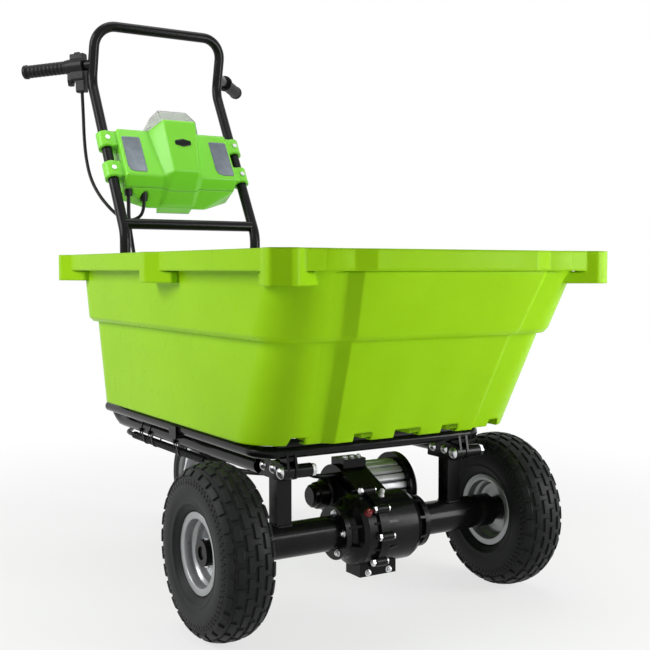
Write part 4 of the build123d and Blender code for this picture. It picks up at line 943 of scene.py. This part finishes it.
@dataclass
class ControlBoxTrim(Assembly):
    """Two bare plates on the control box's wings and the bare badge on its column.

    A face's line is two points of it seen from the side, up the handle's legs and out of them.
    """

    foot: Point = mm(0.0, 678.9459, 633.0836)
    up_legs: Point = (0.0, 0.497539, 0.867437)
    out_of_legs: Point = (0.0, -0.867437, 0.497539)
    plate_size: tuple[float, float] = (41.0, 90.0)
    plate_across: float = 101.0
    plate_up: float = 158.0
    plate_slant: float = 14.0
    plate_corner: float = 4.0
    plate_thick: float = 1.0
    plate_sunk: float = 0.3
    plate_steps: Profile = ((1.5, 0.0), (0.4, -0.4))
    plate_ease: Ease = Ease(0.15)
    badge_size: tuple[float, float] = (21.0, 9.0)
    badge_up: float = 170.0
    badge_corner: float = 2.5
    badge_thick: float = 2.0
    badge_sunk: float = 0.6
    badge_steps: Profile = ((1.2, 0.0), (0.5, -0.6), (2.2, 0.35))
    badge_ease: Ease = Ease(0.25)
    wing_line: Profile = ((104.0, 27.0), (225.0, 23.0))
    column_line: Profile = ((104.0, 47.0), (225.0, 68.0))

    def face_seat(self, across: float, up: float, line: Profile, sunk: float) -> Matrix:
        """Find a seat on a face of the box.

        Args:
            across: Distance to the right of the box's middle.
            up: Distance up the legs.
            line: The face's line.
            sunk: Depth of the seat under the face.

        Returns:
            The seat.
        """
        (up_0, out_0), (up_1, out_1) = line
        legs, out = Vector(self.up_legs), Vector(self.out_of_legs)
        face = (legs * (up_1 - up_0) + out * (out_1 - out_0)).normalized()
        height = out_0 + (out_1 - out_0) * (up - up_0) / (up_1 - up_0)
        spot = Vector(self.foot) + (legs * up + out * height + ALONG * across - ALONG.cross(face) * sunk) * MM
        return seat(spot, ALONG, face)

    def plate(self) -> Hand:
        """Cut one plate with a slanted lower corner, a border and a sunk face.

        Returns:
            The plate.
        """
        wide, tall = (side * MM for side in self.plate_size)
        hand = Hand.start("wing_plate", bpy.ops.mesh.primitive_plane_add, size=1.0)
        hand.size((wide, tall, 1.0))
        hand.pick(Part.POINTS, lambda spot, _: spot.x < 0 and spot.y < 0)
        hand.round_points(self.plate_slant * MM, 2)
        hand.pick(Part.POINTS, lambda spot, _: spot.x > 0 or spot.y > 0)
        hand.round_points(self.plate_corner * MM, 4)
        hand.raise_top(self.plate_thick * MM)
        hand.terrace(self.plate_steps)
        hand.ease_edges(self.plate_ease)
        return hand

    def badge(self) -> Hand:
        """Cut the badge, a long six-sided cap with a rim and a crowned middle.

        Returns:
            The badge.
        """
        wide, tall = (side * MM for side in self.badge_size)
        hand = Hand.start("column_badge", bpy.ops.mesh.primitive_circle_add, vertices=6, radius=1.0,
                          fill_type="NGON")
        hand.size((wide, tall, 1.0))
        hand.pick(Part.POINTS, everything)
        hand.round_points(self.badge_corner * MM, 4)
        hand.raise_top(self.badge_thick * MM)
        hand.terrace(self.badge_steps)
        hand.ease_edges(self.badge_ease)
        return hand

    def build(self) -> None:
        """Make the plates and the badge and lay them on the box."""
        seats = [self.face_seat(across, self.plate_up, self.wing_line, self.plate_sunk)
                 for across in (-self.plate_across, self.plate_across)]
        for plate in self.plate().spread(seats, ("left", "right")):
            self.finish(plate, PLATE_METAL, Body.CHASSIS, Slot.ZINC)
        badge = self.badge()
        badge.place(self.face_seat(0.0, self.badge_up, self.column_line, self.badge_sunk))
        self.finish(badge, GLOSS_BLACK, Body.CHASSIS, Slot.BLACK_PLASTIC)


@dataclass
class CableTies(Assembly):
    """Straps that hold the conduit under the left rail."""

    rail_across: float = -175.0
    rail_height: float = 241.0
    rail_radius: float = 12.5
    conduit_drop: float = 24.0
    conduit_radius: float = 7.0
    slack: float = 0.1
    strap_width: float = 4.6
    strap_thick: float = 1.2
    strap_ease: Ease = Ease(0.3, 2, 50.0)
    lock_size: Point = (5.0, 6.6, 6.0)
    lock_out: float = 2.2
    lock_drop: float = 4.0
    lock_steps: Profile = ((1.0, 0.0), (0.2, -2.0))
    lock_ease: Ease = Ease(0.4)
    tail_steps: Profile = ((1.6, 0.0),)
    tail: float = 6.0
    near: float = 0.5
    places: tuple[float, ...] = (330.0, 447.0, 488.0)

    def strap(self) -> Hand:
        """Bend one strap round the rail and the conduit and put its lock on it.

        Returns:
            The strap.
        """
        about = (self.rail_across * MM, 0.0, self.rail_height * MM)
        around = (self.rail_radius + self.slack) * MM
        hand = Hand.start("conduit_tie", bpy.ops.mesh.primitive_circle_add, vertices=48, radius=around,
                          location=about, rotation=(math.pi / 2, 0.0, 0.0))
        hand.pick(Part.POINTS, lambda spot, _: spot.z < about[2] - self.near * MM)
        share = (self.conduit_radius + self.slack) * MM / around
        hand.size((share, 1.0, share), about)
        hand.move((0.0, 0.0, -self.conduit_drop * MM))
        bpy.ops.mesh.select_all(action="SELECT")
        hand.extrude((0.0, self.strap_width * MM, 0.0))
        hand.close()
        hand.modify("SOLIDIFY", thickness=self.strap_thick * MM, offset=1.0)
        hand.ease_edges(self.strap_ease)
        lock_at = (about[0] - around - self.lock_out * MM, self.strap_width / 2 * MM,
                   about[2] - self.lock_drop * MM)
        lock = Hand.start("tie_lock", bpy.ops.mesh.primitive_cube_add, size=MM, location=lock_at)
        lock.size(self.lock_size, lock_at)
        lock.pick(Part.FACES, faces_up)
        lock.terrace(self.lock_steps)
        lock.pick(Part.FACES, lambda _, normal: normal.z < -SQUARE_ON)
        lock.terrace(self.tail_steps)
        lock.extrude((0.0, 0.0, -self.tail * MM))
        lock.ease_edges(self.lock_ease)
        hand.join([lock], "conduit_tie")
        return hand

    def build(self) -> None:
        """Make one strap and copy it along the rail."""
        seats = [Matrix.Translation((0.0, AXLE_Y + behind * MM, 0.0)) for behind in self.places]
        for strap in self.strap().spread(seats):
            self.finish(strap, BLACK_MOULDING, Body.CHASSIS, Slot.BLACK_PLASTIC)


@dataclass
class Welds(Assembly):
    """Beads round the posts' feet on the axle tubes."""

    post_across: float = 161.0
    post_half: float = 12.5
    tube_radius: float = 27.0
    bead_radius: float = 2.4
    bead_sides: int = 12
    bead_out: float = 0.4
    overrun: float = 1.0
    lift: float = 0.5
    sink: float = 1.4
    end_share: float = 0.45
    ripple: float = 0.86
    ripple_step: float = 1.9

    def bead(self) -> Hand:
        """Draw one bead along X, ring after ring, as long as a post is wide.

        Returns:
            The bead, centred on the origin.
        """
        length = 2 * self.post_half + self.overrun
        count = round(length / self.ripple_step)
        start, step, now = -length / 2 * MM, length / count * MM, self.end_share
        hand = Hand.start("weld_bead", bpy.ops.mesh.primitive_circle_add, vertices=self.bead_sides,
                          radius=now * self.bead_radius * MM, fill_type="NGON", location=(start, 0.0, 0.0),
                          rotation=(0.0, math.pi / 2, 0.0))
        bpy.ops.mesh.select_mode(type=Part.FACES.value)
        for ring in range(1, count + 1):
            wanted = self.end_share if ring == count else (1.0 if ring % 2 else self.ripple)
            hand.extrude((step, 0.0, 0.0))
            hand.size((1.0, wanted / now, wanted / now), (start + step * ring, 0.0, 0.0))
            now = wanted
        hand.close()
        hand.modify("SUBSURF", levels=1, render_levels=1)
        return hand

    def build(self) -> None:
        """Lay beads along the four sides of both posts."""
        axle = AXLE_Z / MM
        side_height = math.sqrt(self.tube_radius ** 2 - self.post_half ** 2) + axle + self.lift
        out = self.post_half + self.bead_out
        seats = []
        for across in (-self.post_across, self.post_across):
            for end in (-out, out):
                seats.append(seat(mm(across, end, side_height), ALONG, BACK))
                seats.append(seat(mm(across + end, 0.0, self.tube_radius + axle - self.sink), BACK, -ALONG))
        beads = self.bead().spread(seats)
        beads[0].join(beads[1:], "post_welds")
        self.finish(beads[0], FRAME_PAINT, Body.CHASSIS, Slot.FRAME, smooth_below=60.0)


@dataclass
class MotorFins(Assembly):
    """Cooling bars round the motor's can, two of the can's ribs under each; their very light finish is painted light
    that makes up for the bin's shadow over them.
    """

    start: float = 45.0
    end: float = 109.0
    behind: float = 95.0
    height: float = 168.0
    low: float = 42.0
    high: float = 48.0
    width: float = 11.2
    top_share: float = 0.84
    ease: Ease = Ease(0.7)
    bars: int = 20
    first_turn: float = 4.5
    hidden: tuple[int, ...] = (11,)

    def bar(self) -> Hand:
        """Draw one bar out along X and narrow its top.

        Returns:
            The bar, centred on the origin.
        """
        hand = Hand.start("motor_fins", bpy.ops.mesh.primitive_cube_add, size=MM)
        hand.size((self.end - self.start, self.width, self.high - self.low))
        hand.pick(Part.FACES, faces_up)
        hand.size((1.0, self.top_share, 1.0))
        hand.ease_edges(self.ease)
        return hand

    def build(self) -> None:
        """Copy a bar round the can, but for where the gearbox drum hides it, and join all into one casting."""
        middle, radius = (self.start + self.end) / 2, (self.low + self.high) / 2
        turns = [self.first_turn + number * 360.0 / self.bars for number in range(self.bars)
                 if number not in self.hidden]
        bars = self.bar().spread([seat(on_circle(middle, turn, radius, self.behind, self.height), ALONG,
                                       spoke(turn).cross(ALONG)) for turn in turns])
        bars[0].join(bars[1:], "motor_fins")
        self.finish(bars[0], FIN_LIT_METAL, Body.CHASSIS, Slot.MOTOR)


@dataclass
class GearboxPlugs(Assembly):
    """Pale breather and red filler plug on the gearbox drum.

    An outline is heights and radii. A place is the distance to the right of the cart's middle, the angle up from the
    back in degrees, and the depth of the plug's foot in the drum.
    """

    drum_radius: float = 56.0
    breather: Profile = ((0.0, 0.0), (0.0, 5.2), (4.0, 5.2), (4.6, 3.6), (6.4, 3.6), (6.8, 4.3), (13.0, 4.0),
                         (14.4, 2.6), (14.4, 0.0))
    breather_at: Point = (10.0, 110.0, 2.0)
    filler: Profile = ((0.0, 0.0), (0.0, 6.4), (4.4, 6.4), (5.0, 5.4), (8.6, 5.0), (9.4, 4.0), (9.4, 2.2),
                       (8.4, 1.8), (8.4, 0.0))
    filler_at: Point = (-31.0, 141.0, 2.4)
    round_steps: int = 32
    ease: Ease = Ease(0.3)

    def plug(self, name: str, outline: Profile, place: Point, finish: Finish) -> None:
        """Spin a plug's outline and stand it on the drum.

        Args:
            name: Name of the plug.
            outline: Its outline.
            place: Its place.
            finish: Its finish.
        """
        across, turn, sunk = place
        hand = Hand.line(name, [(height * MM, 0.0, radius * MM) for height, radius in outline])
        hand.spin(self.round_steps)
        hand.ease_edges(self.ease)
        out = spoke(turn)
        hand.place(seat(on_circle(across, turn, self.drum_radius - sunk), out, ALONG.cross(out)))
        self.finish(hand, finish, Body.CHASSIS, Slot.SWITCH)

    def build(self) -> None:
        """Make both plugs."""
        self.plug("gearbox_breather", self.breather, self.breather_at, PALE_NYLON)
        self.plug("gearbox_filler", self.filler, self.filler_at, RED_MOULDING)


@dataclass
class GearboxScrews(Assembly):
    """Bright hex screws on the gearbox's end flange, terminal block and foot."""

    flange_face: float = -68.0
    flange_circle: float = 32.5
    flange_turns: tuple[float, ...] = (100.0, 170.0, 240.0)
    terminal_top: float = 226.0
    terminal_behind: float = 84.0
    terminal_across: tuple[float, ...] = (9.0, 22.0, 35.0)
    foot_face: float = -26.0
    foot_height: float = 66.0
    foot_across: tuple[float, ...] = (-19.0, 20.0)
    washer_radius: float = 5.5
    washer_depth: float = 1.6
    washer_ease: Ease = Ease(0.3, 1)
    head_radius: float = 4.4
    head_depth: float = 3.6
    head_height: float = 2.4
    head_ease: Ease = Ease(0.35)
    stud_steps: Profile = ((1.6, 0.0),)
    stud: float = 1.8

    def screw(self) -> Hand:
        """Make one screw that stands on the XY plane: a washer, a hex head and a stud's end.

        Returns:
            The screw.
        """
        hand = Hand.start("gearbox_screw", bpy.ops.mesh.primitive_cylinder_add, vertices=24,
                          radius=self.washer_radius * MM, depth=self.washer_depth * MM)
        hand.ease_edges(self.washer_ease)
        head = Hand.start("screw_head", bpy.ops.mesh.primitive_cylinder_add, vertices=6,
                          radius=self.head_radius * MM, depth=self.head_depth * MM,
                          location=(0.0, 0.0, self.head_height * MM))
        head.pick(Part.FACES, faces_up)
        head.terrace(self.stud_steps)
        head.extrude((0.0, 0.0, self.stud * MM))
        head.ease_edges(self.head_ease)
        hand.join([head], "gearbox_screw")
        return hand

    def build(self) -> None:
        """Make one screw and copy it to every seat."""
        seats = [seat(mm(x, self.terminal_behind, self.terminal_top), ALONG, BACK) for x in self.terminal_across]
        seats += [seat(mm(x, self.foot_face, self.foot_height), ALONG, UP) for x in self.foot_across]
        seats += [seat(on_circle(self.flange_face, turn, self.flange_circle), UP, BACK)
                  for turn in self.flange_turns]
        for screw in self.screw().spread(seats):
            self.finish(screw, ZINC_PLATE, Body.CHASSIS, Slot.ZINC)


@dataclass
class ThrottleCable(Assembly):
    """Cable that hangs from the throttle to the control box."""

    diameter: float = 0.0072
    length: float = 0.394
    points: tuple[Point, ...] = (
        mm(-166.9391, 871.2389, 923.7191), mm(-165.5428, 869.6440, 878.7690), mm(-167, 862, 828),
        mm(-168, 848, 780), mm(-166, 826, 734), mm(-157, 796, 696), mm(-141, 770, 666), mm(-122, 755, 646),
        mm(-100, 744, 643), mm(-80, 737.3481, 658.7275), mm(-80, 737.3481, 684.7275))

    def build(self) -> None:
        """Lay the cable as one smooth spline."""
        curve = bpy.data.curves.new("throttle_cable_run", "CURVE")
        curve.dimensions = "3D"
        spline = curve.splines.new("NURBS")
        spline.points.add(len(self.points) - 1)
        for point, place in zip(spline.points, self.points):
            point.co = (*place, 1.0)
        spline.order_u = 3
        spline.use_endpoint_u = True
        spline.resolution_u = 10
        curve.bevel_depth = self.diameter / 2
        curve.bevel_resolution = 5
        curve.use_fill_caps = True
        cable = bpy.data.objects.new("throttle_cable_run", curve)
        bpy.context.scene.collection.objects.link(cable)
        self.paint.put(cable, CABLE_RUBBER)
        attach(cable, Body.CHASSIS.value)
        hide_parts("throttle_cable")
        LOG.info("laid %s, %.3f m", cable.name, self.length)


# Studio


class Lamp(NamedTuple):
    """Square soft lamp: where it hangs, the point that it faces, its side in metres and its watts."""

    name: str
    place: Point
    aim: Point
    side: float
    power: float


@dataclass
class Studio:
    """Camera, floor and soft light."""

    lens: float = 57.82
    sensor: float = 36.0
    camera_at: Point = (-0.9194, -1.7415, 0.5400)
    yaw: float = 31.58
    pitch: float = 3.06
    sky: float = 0.20
    lamps: tuple[Lamp, ...] = (
        Lamp("key", (-2.6, 0.5, 1.8), (0.0, 0.0, 0.45), 1.6, 54.0),
        Lamp("fill", (1.35, -1.55, 0.62), (0.0, -0.4, 0.4), 0.8, 20.0),
        Lamp("strip", (1.3, -2.5, 1.7), (0.0, -0.3, 0.3), 0.5, 7.0),
        Lamp("top", (0.2, 0.3, 3.2), (0.0, 0.0, 0.4), 2.2, 34.0))
    floor_size: float = 60.0
    paper: float = 0.86
    paper_fades_from: float = 0.50
    paper_fades_to: float = 1.6
    least_fade: float = 0.70

    def build(self) -> None:
        """Set up the whole studio."""
        self.camera()
        self.floor()
        for lamp in self.lamps:
            self.hang(lamp)
        self.world()
        bpy.context.scene.view_settings.view_transform = "Standard"

    def camera(self) -> None:
        """Place the camera where the photograph was taken from."""
        data = bpy.data.cameras.new("camera")
        data.lens = self.lens
        data.sensor_width = self.sensor
        camera = bpy.data.objects.new("camera", data)
        camera.location = self.camera_at
        camera.rotation_euler = (math.radians(90.0 - self.pitch), 0.0, math.radians(-self.yaw))
        bpy.context.scene.collection.objects.link(camera)
        bpy.context.scene.camera = camera

    def floor(self) -> None:
        """Lay a wide sheet of white paper that fades into the background away from the cart."""
        Hand.lay_down()
        bpy.ops.mesh.primitive_plane_add(size=self.floor_size, location=ORIGIN)
        floor = bpy.context.active_object
        floor.name = "floor"
        sheet = Surface("floor_paper")
        sheet.dress(Base_Color=(self.paper, self.paper, self.paper, 1.0), Roughness=0.9, Specular_IOR_Level=0.1)
        away = sheet.node("ShaderNodeVectorMath", {"Vector": sheet.coords}, operation="LENGTH").outputs["Value"]
        fade = sheet.node("ShaderNodeMapRange", {"Value": away, "From Min": self.paper_fades_from,
                                                 "From Max": self.paper_fades_to, "To Min": self.least_fade,
                                                 "To Max": 1.0}, interpolation_type="SMOOTHSTEP").outputs["Result"]
        share = sheet.node("ShaderNodeMath", {0: fade, 1: sheet.seen_directly()}, operation="MULTIPLY").outputs[0]
        white = sheet.node("ShaderNodeEmission", {"Color": WHITE, "Strength": 1.0}).outputs["Emission"]
        mix = sheet.node("ShaderNodeMixShader", {0: share, 1: sheet.shader.outputs["BSDF"], 2: white})
        sheet.feed(sheet.output, {"Surface": mix.outputs["Shader"]})
        floor.data.materials.append(sheet.material)

    def hang(self, lamp: Lamp) -> None:
        """Hang one lamp.

        Args:
            lamp: The lamp.
        """
        data = bpy.data.lights.new(lamp.name, "AREA")
        data.size = lamp.side
        data.energy = lamp.power
        made = bpy.data.objects.new(lamp.name, data)
        made.location = lamp.place
        made.rotation_euler = (Vector(lamp.aim) - Vector(lamp.place)).to_track_quat("-Z", "Y").to_euler()
        bpy.context.scene.collection.objects.link(made)

    def world(self) -> None:
        """White to the camera and in reflections, plain soft light to the rest."""
        world = bpy.data.worlds.new("studio")
        bpy.context.scene.world = world
        world.use_nodes = True
        bench = Bench(world.node_tree)
        soft, white = (bench.node("ShaderNodeBackground", {"Color": WHITE, "Strength": strength}).outputs[0]
                       for strength in (self.sky, 1.0))
        mix = bench.node("ShaderNodeMixShader", {0: bench.seen_directly(), 1: soft, 2: white})
        bench.node("ShaderNodeOutputWorld", {"Surface": mix.outputs[0]})


def main() -> None:
    """Build the studio, dress the cart and report each piece."""
    logging.basicConfig(level=logging.INFO, format="%(name)s: %(message)s")
    Studio().build()
    paint = Paintbox()
    paint.dress_nodes()
    wheels = (DriveWheel(paint, "left", Body.LEFT_WHEEL, -1), DriveWheel(paint, "right", Body.RIGHT_WHEEL, 1))
    others = (FrontRelief, ControlBoxTrim, CableTies, Welds, BedShadeStrip, MotorFins, GearboxPlugs, GearboxScrews,
              ThrottleCable)
    for assembly in (*wheels, *(kind(paint) for kind in others)):
        assembly.build()
    Hand.lay_down()


if __name__ == "__main__":
    main()
